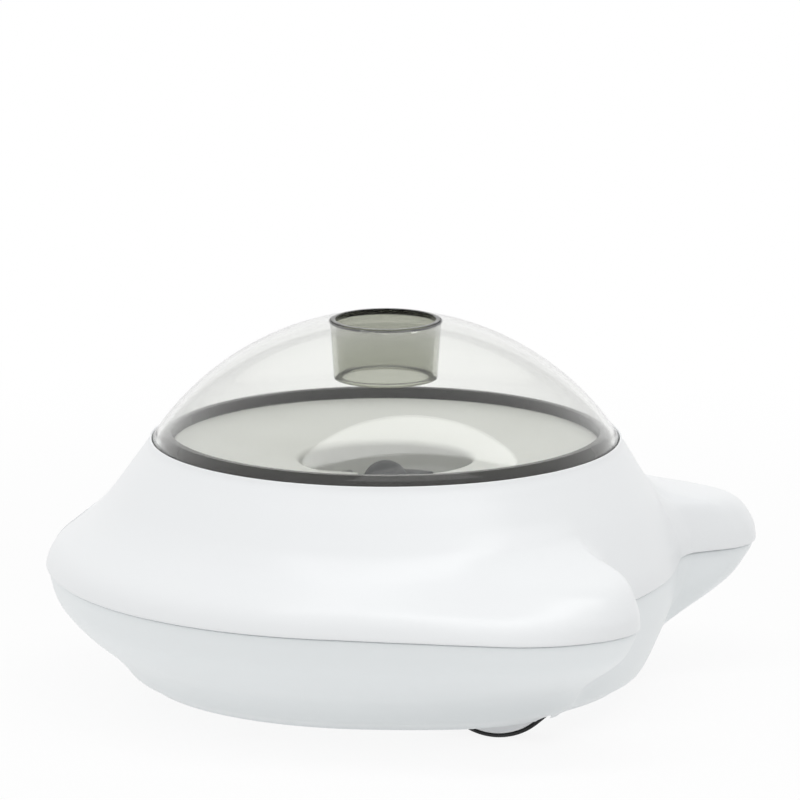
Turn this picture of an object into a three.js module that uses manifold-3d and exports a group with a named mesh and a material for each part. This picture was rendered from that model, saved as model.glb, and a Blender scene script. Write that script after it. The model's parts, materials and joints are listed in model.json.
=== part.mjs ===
// A pet treat launcher: a wheeled body with two rear lobes, a smoked dome over a
// treat hopper, a feed rotor below the hopper and a launch wheel that throws each
// treat out of a sprung flap in the front. Millimetres, +Z up, front at -Y, and
// the wheels stand on Z = 0. The left side of the launcher is at +X.

import * as THREE from 'three';
import { mergeVertices } from 'three/addons/utils/BufferGeometryUtils.js';
import Module from 'manifold-3d';

const wasm = await Module();
wasm.setup();

// Clearances and tool overrun
const gap = 0.3;
const seamGap = 0.4;
const overrun = 2;

// Outer body: a core of revolution with a flared skirt that has two rear lobes
const body = {
  seamRadius: 121,
  coreRadius: 103.3,
  bottomRadius: 86.4,
  bottomZ: 7.2,
  seamZ: 47.3,
  rimZ: 95,
  wall: 2.6,
  seamStep: 1.2,
  seamStepShare: 0.3,
  ringPoints: 66,
  turnLength: 22,
};
const floorZ = body.bottomZ + body.wall;

// Plan outline at the seam: degrees from the rear notch, share of the seam radius
const planShares = [[0, 0.861], [8, 0.863], [16, 0.871], [22, 0.883], [27, 0.925], [30, 1.055],
  [33, 1.148], [37, 1.182], [41, 1.192], [46, 1.186], [52, 1.158], [60, 1.09], [70, 1.03], [82, 1],
  [140, 1], [180, 1.02]];

// Where the lobes' own side profiles hold: degrees from the rear notch, share
const lobeShares = [[0, 0], [23, 0], [30, 1], [50, 1], [78, 0], [180, 0]];

// Side profiles: share of the height from the seam, share of the fall in radius
const coreUpperShares = [[0, 1], [0.1, 0.99], [0.25, 0.9], [0.4, 0.776], [0.57, 0.59], [0.75, 0.339],
  [0.9, 0.12], [1, 0]];
const coreLowerShares = [[0, 1], [0.15, 0.97], [0.4, 0.84], [0.6, 0.68], [0.78, 0.51], [0.9, 0.34], [1, 0]];
const flareUpperShares = [[0, 1], [0.06, 0.97], [0.175, 0.84], [0.3, 0.57], [0.42, 0.33], [0.57, 0.16],
  [0.8, 0.06], [1, 0]];
const flareLowerShares = [[0, 1], [0.15, 0.94], [0.26, 0.87], [0.4, 0.71], [0.55, 0.48], [0.7, 0.18],
  [0.84, 0.03], [1, 0]];
const lobeUpperShares = [[0, 1], [0.1, 0.995], [0.2, 0.965], [0.28, 0.92], [0.34, 0.85], [0.385, 0.68],
  [0.42, 0.42], [0.47, 0.21], [0.56, 0.08], [0.7, 0.02], [1, 0]];
const lobeLowerShares = [[0, 1], [0.15, 0.95], [0.26, 0.88], [0.4, 0.72], [0.55, 0.49], [0.7, 0.27],
  [0.8, 0.19], [0.9, 0.155], [1, 0.12]];
const upperLevelShares = [0, 0.08, 0.16, 0.24, 0.3, 0.35, 0.385, 0.42, 0.465, 0.52, 0.6, 0.7, 0.82, 0.92, 1];
const lowerLevelShares = [0, 0.1, 0.22, 0.35, 0.48, 0.6, 0.7, 0.8, 0.9, 1];
const innerUpperLevelShares = [0, 0.14, 0.28, 0.38, 0.44, 0.5, 0.6, 0.8, 1];
const innerLowerLevelShares = [0, 0.25, 0.48, 0.68, 0.86];

// Rim stack, from the shelf in the upper shell to the dome
const rim = {
  recessClearance: 0.4,
  edgeWidth: 0.9,
  shelfZ: 88.5,
  shelfThickness: 2.2,
  shelfWidth: 7.6,
  flangeThickness: 1.6,
  sealThickness: 1,
  sealWidth: 3.6,
};
const flangeZ = rim.shelfZ + gap;
const sealZ = flangeZ + rim.flangeThickness + gap;
const domeZ = sealZ + rim.sealThickness + gap;

const dome = {
  skirtRadius: 83.7,
  skirtTopZ: 95.3,
  ringWidth: 7.1,
  ringTopZ: 97.6,
  holeRadius: 20,
  topZ: 137.9,
  wall: 2,
  steps: 8,
};
const ringInnerRadius = dome.skirtRadius - dome.ringWidth;
const recessRadius = dome.skirtRadius + rim.recessClearance;
const shelfInnerRadius = recessRadius - rim.shelfWidth;
const rimRadius = recessRadius + rim.edgeWidth;
const neck = {
  topRadius: 19.7,
  bottomRadius: 18.6,
  boreRadius: 18.1,
  lipRadius: 15.5,
  lipHeight: 1.2,
  wall: 1.6,
  straight: 4,
  rise: 0.3,
  height: 21.8,
};
const neckTopZ = dome.topZ + neck.rise;
const neckBottomZ = neckTopZ - neck.height;

const hopper = {
  wall: 2,
  lipZ: 93.6,
  lipWidth: 1.6,
  wellRadius: 31,
  wellEdgeZ: 87.2,
  wellFloorZ: 66,
  shaftHoleRadius: 3.6,
  guardWidth: 18,
  guardReach: 19,
  guardThickness: 1.9,
};
const wellUndersideZ = hopper.wellFloorZ - hopper.wall;

const rotor = {
  radius: 30.2,
  height: 10.5,
  lift: 0.4,
  pockets: 6,
  pocketPitchRadius: 22,
  pocketRadius: 6.3,
};
const rotorZ = hopper.wellFloorZ + rotor.lift;
const rotorTopZ = rotorZ + rotor.height;
const agitator = { radius: 8.5, height: 9, boreDepth: 2, steps: 5 };
const feedShaft = { radius: 2.5, bottomZ: 58 };
const feedMotor = { side: 20, height: 23.5, boreDepth: 6 };
const dropHoleRadius = 7.5;
const dropPlace = [0, -rotor.pocketPitchRadius];

const duct = { innerWidth: 20, innerHeight: 10.7, wall: 2, backY: -12.3, proud: 0.6, backWall: 1.6 };
const ductCeilingZ = wellUndersideZ - gap - duct.wall;
const ductFloorZ = ductCeilingZ - duct.innerHeight;
const ductOuterHalf = duct.innerWidth / 2 + duct.wall;

const flap = { setBack: 17, pinRadius: 1, barrelRadius: 1.8, thickness: 1.4, sideGap: 0.5 };
const flapPinY = flap.setBack - body.seamRadius;
const flapPinZ = ductCeilingZ - flap.barrelRadius - gap;
const flapPinPlace = [flapPinY, flapPinZ];

const launchWheel = {
  radius: 16.5,
  tyreThickness: 2.7,
  width: 9.2,
  y: -44,
  z: 38,
  shaftRadius: 1,
  sideClearance: 0.9,
  slotClearance: 1.2,
};
const launchMotor = {
  radius: 10,
  length: 24.5,
  startX: 8.5,
  boreDepth: 3.5,
  saddleLength: 18,
  saddleWall: 2,
};
const launchShaftOverhang = 0.4;

const wheel = {
  radius: 24,
  tyreThickness: 2,
  width: 9.5,
  outerX: 53.5,
  y: 57,
  axleRadius: 1.5,
  faceRecess: 1,
  faceRecessRadius: 17,
  backRecess: 5.5,
  backRecessRadius: 19.5,
  bossRadius: 6,
};
const wheelInnerX = wheel.outerX - wheel.width;
const fender = { wall: 1.6, radialGap: 1.3, innerGap: 1.9, outerGap: 1.2, axleHoleRadius: 3.3 };
const fenderInnerX = wheelInnerX - fender.innerGap;
const driveMotor = {
  boxLength: 9,
  boxWidth: 12,
  boxHeight: 10,
  canRadius: 5.5,
  canLength: 20.5,
  boreDepth: 4,
};
const driveMotorEndX = fenderInnerX - fender.wall - gap;
const clamp = { length: 9, wall: 2.4, foot: 4 };

const caster = {
  fromEdge: 16.4,
  wheelRadius: 8,
  wheelWidth: 7.6,
  trail: 3.5,
  cupRadius: 12.4,
  cupWall: 1.4,
  cupTopZ: 22.5,
  cupTopWall: 2,
  flangeWidth: 3.2,
  flangeThickness: 1.6,
  plateThickness: 2,
  armThickness: 1.8,
  armLength: 7,
  armClearance: 0.6,
  plateClearance: 0.9,
  stemRadius: 2.3,
  stemHeadRadius: 3.5,
  stemHeadHeight: 1.4,
  axleRadius: 1.2,
};
const casterY = caster.fromEdge - body.bottomRadius;

const post = {
  radius: 4.5,
  pitchRadius: 81.1,
  boreRadius: 1.8,
  counterboreRadius: 3.2,
  counterboreDepth: 8.7,
};
const postDegrees = [18, 110, 150, -18, -110, -150];
const screw = { radius: 1.5, headRadius: 2.8, headHeight: 1.7, gripAboveSeam: 10 };

const battery = { cellRadius: 9.3, width: 37.6, x: 34, yLow: -24, yHigh: 28 };
const door = { width: 34, yLow: -35, yHigh: 24, thickness: 1.3, ledge: 2, screwY: -29.5, screwLedge: 11 };
const doorBoss = { radius: 3.5, height: 7, boreRadius: 1.3 };
const doorScrew = { radius: 1, headRadius: 2.2, headHeight: 1 };

const board = {
  xLow: -66,
  xHigh: -16,
  yLow: -34,
  yHigh: 28,
  z: 17.5,
  thickness: 1.6,
  inset: 4,
  standoffRadius: 3,
};
const boardScrew = { radius: 1, headRadius: 2, headHeight: 1.2, length: 7 };
const speaker = {
  x: -30,
  y: -53,
  radius: 13,
  height: 6,
  magnetRadius: 7,
  magnetHeight: 3,
  holeRadius: 1,
  holePitch: 5,
  holesAround: 6,
};

const socket = {
  width: 9,
  height: 3.3,
  length: 9,
  z: 30,
  setBack: 0.8,
  wall: 0.5,
  backWall: 2,
  ribWidth: 13,
  ribHeight: 5,
};
const button = {
  z: 74,
  radius: 6,
  flangeRadius: 7.2,
  flangeThickness: 1.2,
  proud: 1,
  travel: 1,
  stemLength: 3,
  stemRadius: 1.6,
  switchSide: 6,
  switchHeight: 3.5,
  boardLength: 30,
  boardWidth: 15,
  boardThickness: 1.6,
  bossRadius: 2.2,
  bossReachShare: 0.3,
};
const lamp = { radius: 1.8, distance: 11.5, proud: 0.5 };

// Materials
const finish = (color, roughness, metalness, opacity = 1) => new THREE.MeshStandardMaterial({
  color, roughness, metalness, opacity, transparent: opacity < 1,
});
const whitePlastic = () => finish(0xeef1f3, 0.25, 0);
const coolPlastic = () => finish(0xd9dee1, 0.3, 0);
const greyPlastic = () => finish(0xc4c6c2, 0.5, 0);
const darkPlastic = () => finish(0x2b2d2f, 0.55, 0);
const smokedPlastic = () => finish(0x5d5f58, 0.08, 0, 0.45);
const blackRubber = () => finish(0x161718, 0.85, 0);
const steel = () => finish(0xb9bcc0, 0.35, 0.9);
const boardGreen = () => finish(0x1f5a3c, 0.5, 0.1);
const batteryBlue = () => finish(0x2d5f9e, 0.45, 0);
const lampClear = () => finish(0xdff3ff, 0.2, 0, 0.8);

const sides = { tiny: 8, small: 10, medium: 16, large: 28, huge: 40 };

// Solids from three.js geometries
function signedVolume(positions, triangles) {
  const corner = (i) => new THREE.Vector3().fromArray(positions, 3 * triangles[i]);
  let volume = 0;
  for (let i = 0; i < triangles.length; i += 3) volume += corner(i).dot(corner(i + 1).cross(corner(i + 2)));
  return volume;
}

function toSolid(geometry) {
  const bare = geometry.clone();
  bare.deleteAttribute('normal');
  bare.deleteAttribute('uv');
  const merged = mergeVertices(bare);
  const indices = merged.index.array;
  const triangles = [];
  for (let i = 0; i < indices.length; i += 3) {
    const [a, b, c] = indices.slice(i, i + 3);
    if (a !== b && b !== c && c !== a) triangles.push(a, b, c);
  }
  const vertProperties = Float32Array.from(merged.attributes.position.array);
  if (signedVolume(vertProperties, triangles) < 0) triangles.reverse();
  const triVerts = Uint32Array.from(triangles);
  return new wasm.Manifold(new wasm.Mesh({ numProp: 3, vertProperties, triVerts }));
}

function toGeometry(solid) {
  const mesh = solid.getMesh();
  const geometry = new THREE.BufferGeometry();
  geometry.setAttribute('position', new THREE.BufferAttribute(Float32Array.from(mesh.vertProperties), 3));
  geometry.setIndex(new THREE.BufferAttribute(Uint32Array.from(mesh.triVerts), 1));
  geometry.computeVertexNormals();
  return geometry;
}

const moved = (solid, matrix) => toSolid(toGeometry(solid).applyMatrix4(matrix));
const joined = (solids) => solids.reduce((whole, solid) => whole.add(solid));
const without = (whole, tools) => tools.reduce((rest, tool) => rest.subtract(tool), whole);

function block([x0, x1], [y0, y1], [z0, z1]) {
  const geometry = new THREE.BoxGeometry(x1 - x0, y1 - y0, z1 - z0);
  return toSolid(geometry.translate((x0 + x1) / 2, (y0 + y1) / 2, (z0 + z1) / 2));
}

// A round bar along an axis; the centre holds the other two coordinates in X, Y, Z order
function rod(axis, radius, [low, high], [u, v], count = sides.small) {
  const geometry = new THREE.CylinderGeometry(radius, radius, high - low, count);
  const middle = (low + high) / 2;
  if (axis === 'z') geometry.rotateX(Math.PI / 2).translate(u, v, middle);
  if (axis === 'x') geometry.rotateZ(Math.PI / 2).translate(middle, u, v);
  if (axis === 'y') geometry.translate(u, middle, v);
  return toSolid(geometry);
}

// A solid of revolution about Z from a closed list of [radius, height]
function turned(profile, count = sides.large) {
  const points = [...profile, profile[0]].map(([radius, height]) => new THREE.Vector2(radius, height));
  return toSolid(new THREE.LatheGeometry(points, count).rotateX(Math.PI / 2));
}

// A smooth curve through points whose slope never overshoots
function smoothCurve(points) {
  const slopes = points.slice(1).map(([x, y], i) => (y - points[i][1]) / (x - points[i][0]));
  const tangents = points.map((_, i) => {
    const before = slopes[i - 1];
    const after = slopes[i];
    if (before === undefined || after === undefined) return 0;
    return before * after > 0 ? (2 * before * after) / (before + after) : 0;
  });
  return (x) => {
    const last = points.length - 2;
    let i = 0;
    while (i < last && x > points[i + 1][0]) i += 1;
    const [x0, y0] = points[i];
    const [x1, y1] = points[i + 1];
    const width = x1 - x0;
    const t = THREE.MathUtils.clamp((x - x0) / width, 0, 1);
    const rise = (3 - 2 * t) * t * t;
    const enter = t * (1 - t) * (1 - t) * width * tangents[i];
    const leave = t * t * (t - 1) * width * tangents[i + 1];
    return y0 + (y1 - y0) * rise + enter + leave;
  };
}

// The body's surface
const planCurve = smoothCurve(planShares);
const coreUpper = smoothCurve(coreUpperShares);
const coreLower = smoothCurve(coreLowerShares);
const flareUpper = smoothCurve(flareUpperShares);
const flareLower = smoothCurve(flareLowerShares);
const lobeCurve = smoothCurve(lobeShares);
const lobeUpper = smoothCurve(lobeUpperShares);
const lobeLower = smoothCurve(lobeLowerShares);

const fromNotch = (degrees) => Math.abs(THREE.MathUtils.euclideanModulo(degrees + 180, 360) - 180);
const planRadius = (degrees) => body.seamRadius * planCurve(fromNotch(degrees));
const lobeShare = (degrees) => lobeCurve(fromNotch(degrees));

function bodyRadius(degrees, z) {
  const above = z >= body.seamZ;
  const share = above
    ? (z - body.seamZ) / (body.rimZ - body.seamZ)
    : (body.seamZ - z) / (body.seamZ - body.bottomZ);
  const endRadius = above ? rimRadius : body.bottomRadius;
  const core = endRadius + (body.coreRadius - endRadius) * (above ? coreUpper : coreLower)(share);
  const side = (above ? flareUpper : flareLower)(share);
  const lobe = (above ? lobeUpper : lobeLower)(share);
  const flare = THREE.MathUtils.lerp(side, lobe, lobeShare(degrees));
  return core + (planRadius(degrees) - body.coreRadius) * flare;
}

const onCircle = (degrees, radius) => {
  const angle = THREE.MathUtils.degToRad(degrees);
  return new THREE.Vector2(radius * Math.sin(angle), radius * Math.cos(angle));
};

// Directions of the ring points: closer together where the seam outline turns
function ringDegrees(count) {
  const trials = 1440;
  const at = (i) => onCircle((i / trials) * 360, planRadius((i / trials) * 360));
  const measures = [0];
  for (let i = 1; i <= trials; i += 1) {
    const before = at(i).sub(at(i - 1));
    const after = at(i + 1).sub(at(i));
    const turn = Math.abs(Math.asin(THREE.MathUtils.clamp(
      before.cross(after) / (before.length() * after.length()), -1, 1)));
    measures.push(measures[i - 1] + before.length() + body.turnLength * turn);
  }
  const degrees = [];
  for (let i = 0; degrees.length < count; i += 1) {
    if (measures[i] >= (degrees.length / count) * measures[trials]) degrees.push((i / trials) * 360);
  }
  return degrees;
}
const directions = ringDegrees(body.ringPoints);

// One ring of the body at a height, set inwards by a distance square to its outline. Under
// the flat tops of the lobes it is set down by the same distance.
function bodyRing(z, inset) {
  const heightAt = (degrees) => (
    z < body.seamZ ? z : Math.min(z + Math.max(inset, 0) * lobeShare(degrees), body.rimZ));
  const outline = directions.map((degrees) => onCircle(degrees, bodyRadius(degrees, heightAt(degrees))));
  const count = outline.length;
  return outline.map((point, i) => {
    const along = outline[(i + 1) % count].clone().sub(outline[(i + count - 1) % count]).normalize();
    return new THREE.Vector3(point.x + along.y * inset, point.y - along.x * inset, z);
  });
}

// A closed solid through rings of equal count, capped at both ends
function lofted(rings) {
  const count = rings[0].length;
  const vertices = rings.flat();
  const ends = [rings[0], rings[rings.length - 1]].map((ring) => (
    ring.reduce((sum, point) => sum.add(point), new THREE.Vector3()).divideScalar(count)));
  const firstCentre = vertices.length;
  const lastCentre = firstCentre + 1;
  const lastStart = (rings.length - 1) * count;
  const triangles = [];
  for (let i = 0; i < count; i += 1) {
    const next = (i + 1) % count;
    triangles.push(firstCentre, next, i, lastCentre, lastStart + i, lastStart + next);
    for (let ring = 0; ring < rings.length - 1; ring += 1) {
      const low = ring * count;
      const high = low + count;
      triangles.push(low + i, low + next, high + next, low + i, high + next, high + i);
    }
  }
  const geometry = new THREE.BufferGeometry().setFromPoints([...vertices, ...ends]);
  geometry.setIndex(triangles);
  return toSolid(geometry);
}

const upperZ = (share) => body.seamZ + share * (body.rimZ - body.seamZ);
const lowerZ = (share) => body.seamZ - share * (body.seamZ - body.bottomZ);
const wholeLevels = [
  ...innerLowerLevelShares.map(lowerZ).reverse(),
  ...innerUpperLevelShares.slice(1).map(upperZ),
];
const wholeBody = (inset) => lofted(wholeLevels.map((z) => bodyRing(z, inset)));

// The scene graph; everything is laid out about the dome's axis
const launcher = new THREE.Group();
const outlineY = directions.map((degrees) => onCircle(degrees, planRadius(degrees)).y);
launcher.position.y = -(Math.max(...outlineY) + Math.min(...outlineY)) / 2;

function piece(name, solid, material, parent = launcher) {
  const mesh = new THREE.Mesh(toGeometry(solid), material);
  mesh.name = name;
  parent.add(mesh);
  return mesh;
}

// The button's own frame on the right side of the upper shell: local +Z points outwards
const buttonProbe = button.radius / 2;
const buttonSlope = Math.atan2(
  bodyRadius(-90, button.z - buttonProbe) - bodyRadius(-90, button.z + buttonProbe), 2 * buttonProbe);
const buttonGroup = new THREE.Group();
buttonGroup.position.set(-bodyRadius(-90, button.z), 0, button.z);
buttonGroup.rotation.y = buttonSlope - Math.PI / 2;
buttonGroup.updateMatrix();
launcher.add(buttonGroup);
const buttonFlangeTop = -(body.wall + gap);
const buttonBack = buttonFlangeTop - button.flangeThickness - button.stemLength;
const buttonBoardTop = buttonBack - button.travel - gap - button.switchHeight;
const buttonBossPlaces = [-1, 1].map((end) => [0, end * (button.boardLength / 2 - button.bossRadius)]);
const lampPlace = [-lamp.distance, 0];

const ductOuter = block(
  [-ductOuterHalf, ductOuterHalf],
  [-body.seamRadius - overrun * 2, duct.backY],
  [ductFloorZ - duct.wall, ductCeilingZ + duct.wall],
);

const postPlaces = postDegrees.map((degrees) => onCircle(degrees, post.pitchRadius).toArray());
const postTopZ = body.seamZ - seamGap / 2;
const counterboreZ = body.bottomZ + post.counterboreDepth;
const screwTopZ = body.seamZ + screw.gripAboveSeam;

function makeTopShell() {
  const bottomZ = body.seamZ + seamGap / 2;
  const outer = lofted([bottomZ, ...upperLevelShares.slice(1).map(upperZ)].map((z) => bodyRing(z, 0)));
  const shelfUndersideZ = rim.shelfZ - rim.shelfThickness;
  const innerHeight = shelfUndersideZ - body.seamZ;
  const innerLevels = innerUpperLevelShares.map((share) => body.seamZ + share * innerHeight);
  const inner = lofted([body.seamZ - overrun, ...innerLevels].map((z) => bodyRing(z, body.wall)));
  const recess = rod('z', recessRadius, [rim.shelfZ, body.rimZ + overrun], [0, 0], sides.huge);
  const mouthHole = rod('z', shelfInnerRadius, [body.seamZ, body.rimZ], [0, 0], sides.huge);
  const bosses = postPlaces.map((place) => (
    rod('z', post.radius, [bottomZ, shelfUndersideZ + rim.shelfThickness / 2], place)));
  const boardBosses = buttonBossPlaces.map((place) => (
    moved(rod('z', button.bossRadius, [buttonBoardTop + gap, -body.wall * button.bossReachShare], place),
      buttonGroup.matrix)));
  const bores = postPlaces.map((place) => (
    rod('z', post.boreRadius, [body.seamZ - overrun, screwTopZ + gap], place, sides.small)));
  const launchHole = block(
    [-ductOuterHalf - gap, ductOuterHalf + gap],
    [-body.seamRadius - overrun * 4, -shelfInnerRadius - overrun * 2],
    [ductFloorZ - duct.wall - gap, ductCeilingZ + duct.wall + gap],
  );
  const throughWall = [-body.wall - overrun * 2, overrun * 2];
  const buttonHole = moved(
    rod('z', button.radius + gap, throughWall, [0, 0], sides.medium),
    buttonGroup.matrix,
  );
  const lampHole = moved(rod('z', lamp.radius + gap, throughWall, lampPlace), buttonGroup.matrix);
  const hollow = without(outer, [inner, recess, mouthHole]);
  const whole = joined([hollow, ...bosses, ...boardBosses]);
  return without(whole, [...bores, launchHole, buttonHole, lampHole]);
}

// A span of X values on the left side, or its mirror image on the right side
const spanOn = (side, low, high) => [side * low, side * high].sort((a, b) => a - b);

// The fender over a drive wheel: its drum, the space in it and the hole for the axle
function makeFender(side, envelope) {
  const innerX = fenderInnerX - fender.wall;
  const outerX = wheel.outerX + fender.outerGap + fender.wall;
  const radius = wheel.radius + fender.radialGap + fender.wall;
  const centre = [wheel.y, wheel.radius];
  const spaceSpan = spanOn(side, fenderInnerX, outerX - fender.wall);
  const holeSpan = spanOn(side, innerX - overrun, fenderInnerX + overrun);
  return {
    drum: rod('x', radius, spanOn(side, innerX, outerX), centre, sides.large).intersect(envelope),
    space: rod('x', radius - fender.wall, spaceSpan, centre, sides.large),
    axleHole: rod('x', fender.axleHoleRadius, holeSpan, centre),
  };
}

const speakerRing = Array.from({ length: speaker.holesAround }, (_, i) => (
  onCircle((360 * i) / speaker.holesAround, speaker.holePitch).toArray()));
const speakerHoles = [[0, 0], ...speakerRing].map(([x, y]) => [speaker.x + x, speaker.y + y]);
const boardCorners = [board.xLow + board.inset, board.xHigh - board.inset]
  .flatMap((x) => [board.yLow + board.inset, board.yHigh - board.inset].map((y) => [x, y]));
const boardUnderZ = board.z - gap;
const socketOuterX = -bodyRadius(-90, socket.z) + socket.setBack;
const driveSaddleX = driveMotorEndX - driveMotor.boxLength - driveMotor.canLength / 2;
const doorX = [battery.x - door.width / 2, battery.x + door.width / 2];
const doorScrewPlace = [battery.x, door.screwY];

function makeBottomShell() {
  const topZ = body.seamZ - seamGap / 2;
  const outerLevels = [topZ, ...lowerLevelShares.slice(1).map(lowerZ)].reverse();
  const stepHeight = body.seamStepShare * (body.seamZ - body.bottomZ);
  const stepInset = (z) => body.seamStep * Math.max(0, 1 - (body.seamZ - z) / stepHeight);
  const outer = lofted(outerLevels.map((z) => bodyRing(z, stepInset(z))));
  const innerLevels = [...innerLowerLevelShares.slice(1).map(lowerZ).reverse(), topZ, topZ + overrun];
  const inner = lofted([floorZ, ...innerLevels.filter((z) => z > floorZ + overrun)]
    .map((z) => bodyRing(z, body.wall + stepInset(z))));
  const envelope = outer.add(wholeBody(body.wall + gap));
  const fenders = [-1, 1].map((side) => makeFender(side, envelope));
  const posts = postPlaces.map((place) => rod('z', post.radius, [body.bottomZ + gap, postTopZ], place));
  const standoffs = boardCorners.map((place) => (
    rod('z', board.standoffRadius, [floorZ - gap, boardUnderZ], place)));
  const motorSaddles = [-1, 1].map((side) => block(
    [side * driveSaddleX - clamp.length / 2, side * driveSaddleX + clamp.length / 2],
    [wheel.y - driveMotor.canRadius / 2, wheel.y + driveMotor.canRadius / 2],
    [floorZ - gap, wheel.radius - driveMotor.canRadius - gap],
  ));
  const doorScrewBoss = rod('z', doorBoss.radius, [floorZ - gap, floorZ + doorBoss.height], doorScrewPlace);
  const socketRib = block(
    [socketOuterX - body.wall, socketOuterX + socket.length],
    [-socket.ribWidth / 2, socket.ribWidth / 2],
    [socket.z - socket.height / 2 - gap - socket.ribHeight, socket.z - socket.height / 2 - gap],
  ).intersect(outer);
  const throughFloor = [body.bottomZ - overrun, floorZ + overrun];
  const cupHoleRadius = caster.cupRadius + caster.cupWall + gap;
  const holes = [
    ...fenders.flatMap(({ space, axleHole }) => [space, axleHole]),
    ...postPlaces.flatMap((place) => [
      rod('z', post.counterboreRadius, [body.bottomZ - overrun, counterboreZ], place),
      rod('z', post.boreRadius, [body.bottomZ, postTopZ + overrun], place),
    ]),
    ...boardCorners.map((place) => (
      rod('z', boardScrew.radius + gap, [floorZ, boardUnderZ + overrun], place))),
    ...speakerHoles.map((place) => rod('z', speaker.holeRadius, throughFloor, place, sides.tiny)),
    rod('z', cupHoleRadius, throughFloor, [0, casterY], sides.large),
    block(doorX, [door.yLow, door.yHigh], [body.bottomZ - overrun, body.bottomZ + door.thickness + gap]),
    block(
      [doorX[0] + door.ledge, doorX[1] - door.ledge],
      [door.yLow + door.screwLedge, door.yHigh - door.ledge],
      [body.bottomZ, floorZ + overrun],
    ),
    rod('z', doorBoss.boreRadius, [body.bottomZ, floorZ + doorBoss.height - gap], doorScrewPlace),
    block(
      [socketOuterX - body.wall - overrun, socketOuterX + body.wall + overrun],
      [-socket.width / 2 - gap, socket.width / 2 + gap],
      [socket.z - socket.height / 2 - gap, socket.z + socket.height / 2 + gap],
    ),
  ];
  const whole = joined([without(outer, [inner]), ...fenders.map(({ drum }) => drum), ...posts, ...standoffs,
    ...motorSaddles, doorScrewBoss, socketRib]);
  return without(whole, holes);
}

// Dome: a thick base ring in the rim recess under a part of a sphere that has the neck's hole
function makeDome() {
  const rise = dome.topZ - dome.skirtTopZ;
  const centreZ = (dome.topZ + dome.skirtTopZ) / 2
    + (dome.holeRadius ** 2 - dome.skirtRadius ** 2) / (2 * rise);
  const radius = Math.hypot(dome.skirtRadius, dome.skirtTopZ - centreZ);
  const arc = (arcRadius, startZ) => {
    const start = Math.acos((startZ - centreZ) / arcRadius);
    const end = Math.asin(dome.holeRadius / arcRadius);
    return Array.from({ length: dome.steps + 1 }, (_, i) => {
      const angle = start + ((end - start) * i) / dome.steps;
      return [arcRadius * Math.sin(angle), centreZ + arcRadius * Math.cos(angle)];
    });
  };
  return turned([
    [dome.skirtRadius, domeZ],
    ...arc(radius, dome.skirtTopZ),
    ...arc(radius - dome.wall, dome.ringTopZ).reverse(),
    [ringInnerRadius, dome.ringTopZ],
    [ringInnerRadius, domeZ],
  ], sides.huge);
}

const makeNeck = () => turned([
  [neck.topRadius, neckTopZ],
  [neck.boreRadius, neckTopZ],
  [neck.boreRadius, neckTopZ - neck.lipHeight],
  [neck.bottomRadius - neck.wall, neckBottomZ + neck.lipHeight],
  [neck.lipRadius, neckBottomZ + neck.lipHeight],
  [neck.lipRadius, neckBottomZ],
  [neck.bottomRadius, neckBottomZ],
  [neck.topRadius, neckTopZ - neck.straight],
], sides.large);

const makeSeal = () => turned([
  [dome.skirtRadius - gap, sealZ],
  [dome.skirtRadius - gap, sealZ + rim.sealThickness],
  [dome.skirtRadius - gap - rim.sealWidth, sealZ + rim.sealThickness],
  [dome.skirtRadius - gap - rim.sealWidth, sealZ],
], sides.huge);

function makeHopper() {
  const flangeTopZ = flangeZ + rim.flangeThickness;
  const lipOuterRadius = ringInnerRadius - gap;
  const lipInnerRadius = lipOuterRadius - hopper.lipWidth;
  const dish = turned([
    [dome.skirtRadius - gap, flangeZ],
    [dome.skirtRadius - gap, flangeTopZ],
    [lipOuterRadius, flangeTopZ],
    [lipOuterRadius, hopper.lipZ],
    [lipInnerRadius, hopper.lipZ],
    [hopper.wellRadius, hopper.wellEdgeZ],
    [hopper.wellRadius, hopper.wellFloorZ],
    [hopper.shaftHoleRadius, hopper.wellFloorZ],
    [hopper.shaftHoleRadius, wellUndersideZ],
    [hopper.wellRadius + hopper.wall, wellUndersideZ],
    [hopper.wellRadius + hopper.wall, hopper.wellEdgeZ - hopper.wall],
    [lipInnerRadius, hopper.lipZ - hopper.wall],
    [lipInnerRadius, flangeZ],
  ], sides.huge);
  const guardRadius = hopper.wellRadius + hopper.wall / 2;
  const guardLimit = rod('z', guardRadius, [rotorZ, hopper.wellEdgeZ], [0, 0], sides.huge);
  const guard = block(
    [-hopper.guardWidth / 2, hopper.guardWidth / 2],
    [-guardRadius, hopper.guardReach - guardRadius],
    [rotorTopZ + rotor.lift, rotorTopZ + rotor.lift + hopper.guardThickness],
  );
  const dropHole = rod('z', dropHoleRadius, [wellUndersideZ - overrun, rotorZ], dropPlace, sides.medium);
  return dish.add(guard.intersect(guardLimit)).subtract(dropHole);
}

function makeRotor() {
  const disc = rod('z', rotor.radius, [rotorZ, rotorTopZ], [0, 0], sides.huge);
  const heights = [rotorZ - overrun, rotorTopZ + overrun];
  const pocketWay = block(
    [-rotor.pocketRadius, rotor.pocketRadius],
    [-rotor.radius - overrun, -rotor.pocketPitchRadius],
    heights,
  );
  const pocket = rod('z', rotor.pocketRadius, heights, dropPlace).add(pocketWay);
  const pockets = Array.from({ length: rotor.pockets }, (_, i) => (
    moved(pocket, new THREE.Matrix4().makeRotationZ((i / rotor.pockets) * 2 * Math.PI))));
  return without(disc, [...pockets, rod('z', feedShaft.radius + gap, heights, [0, 0])]);
}

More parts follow.
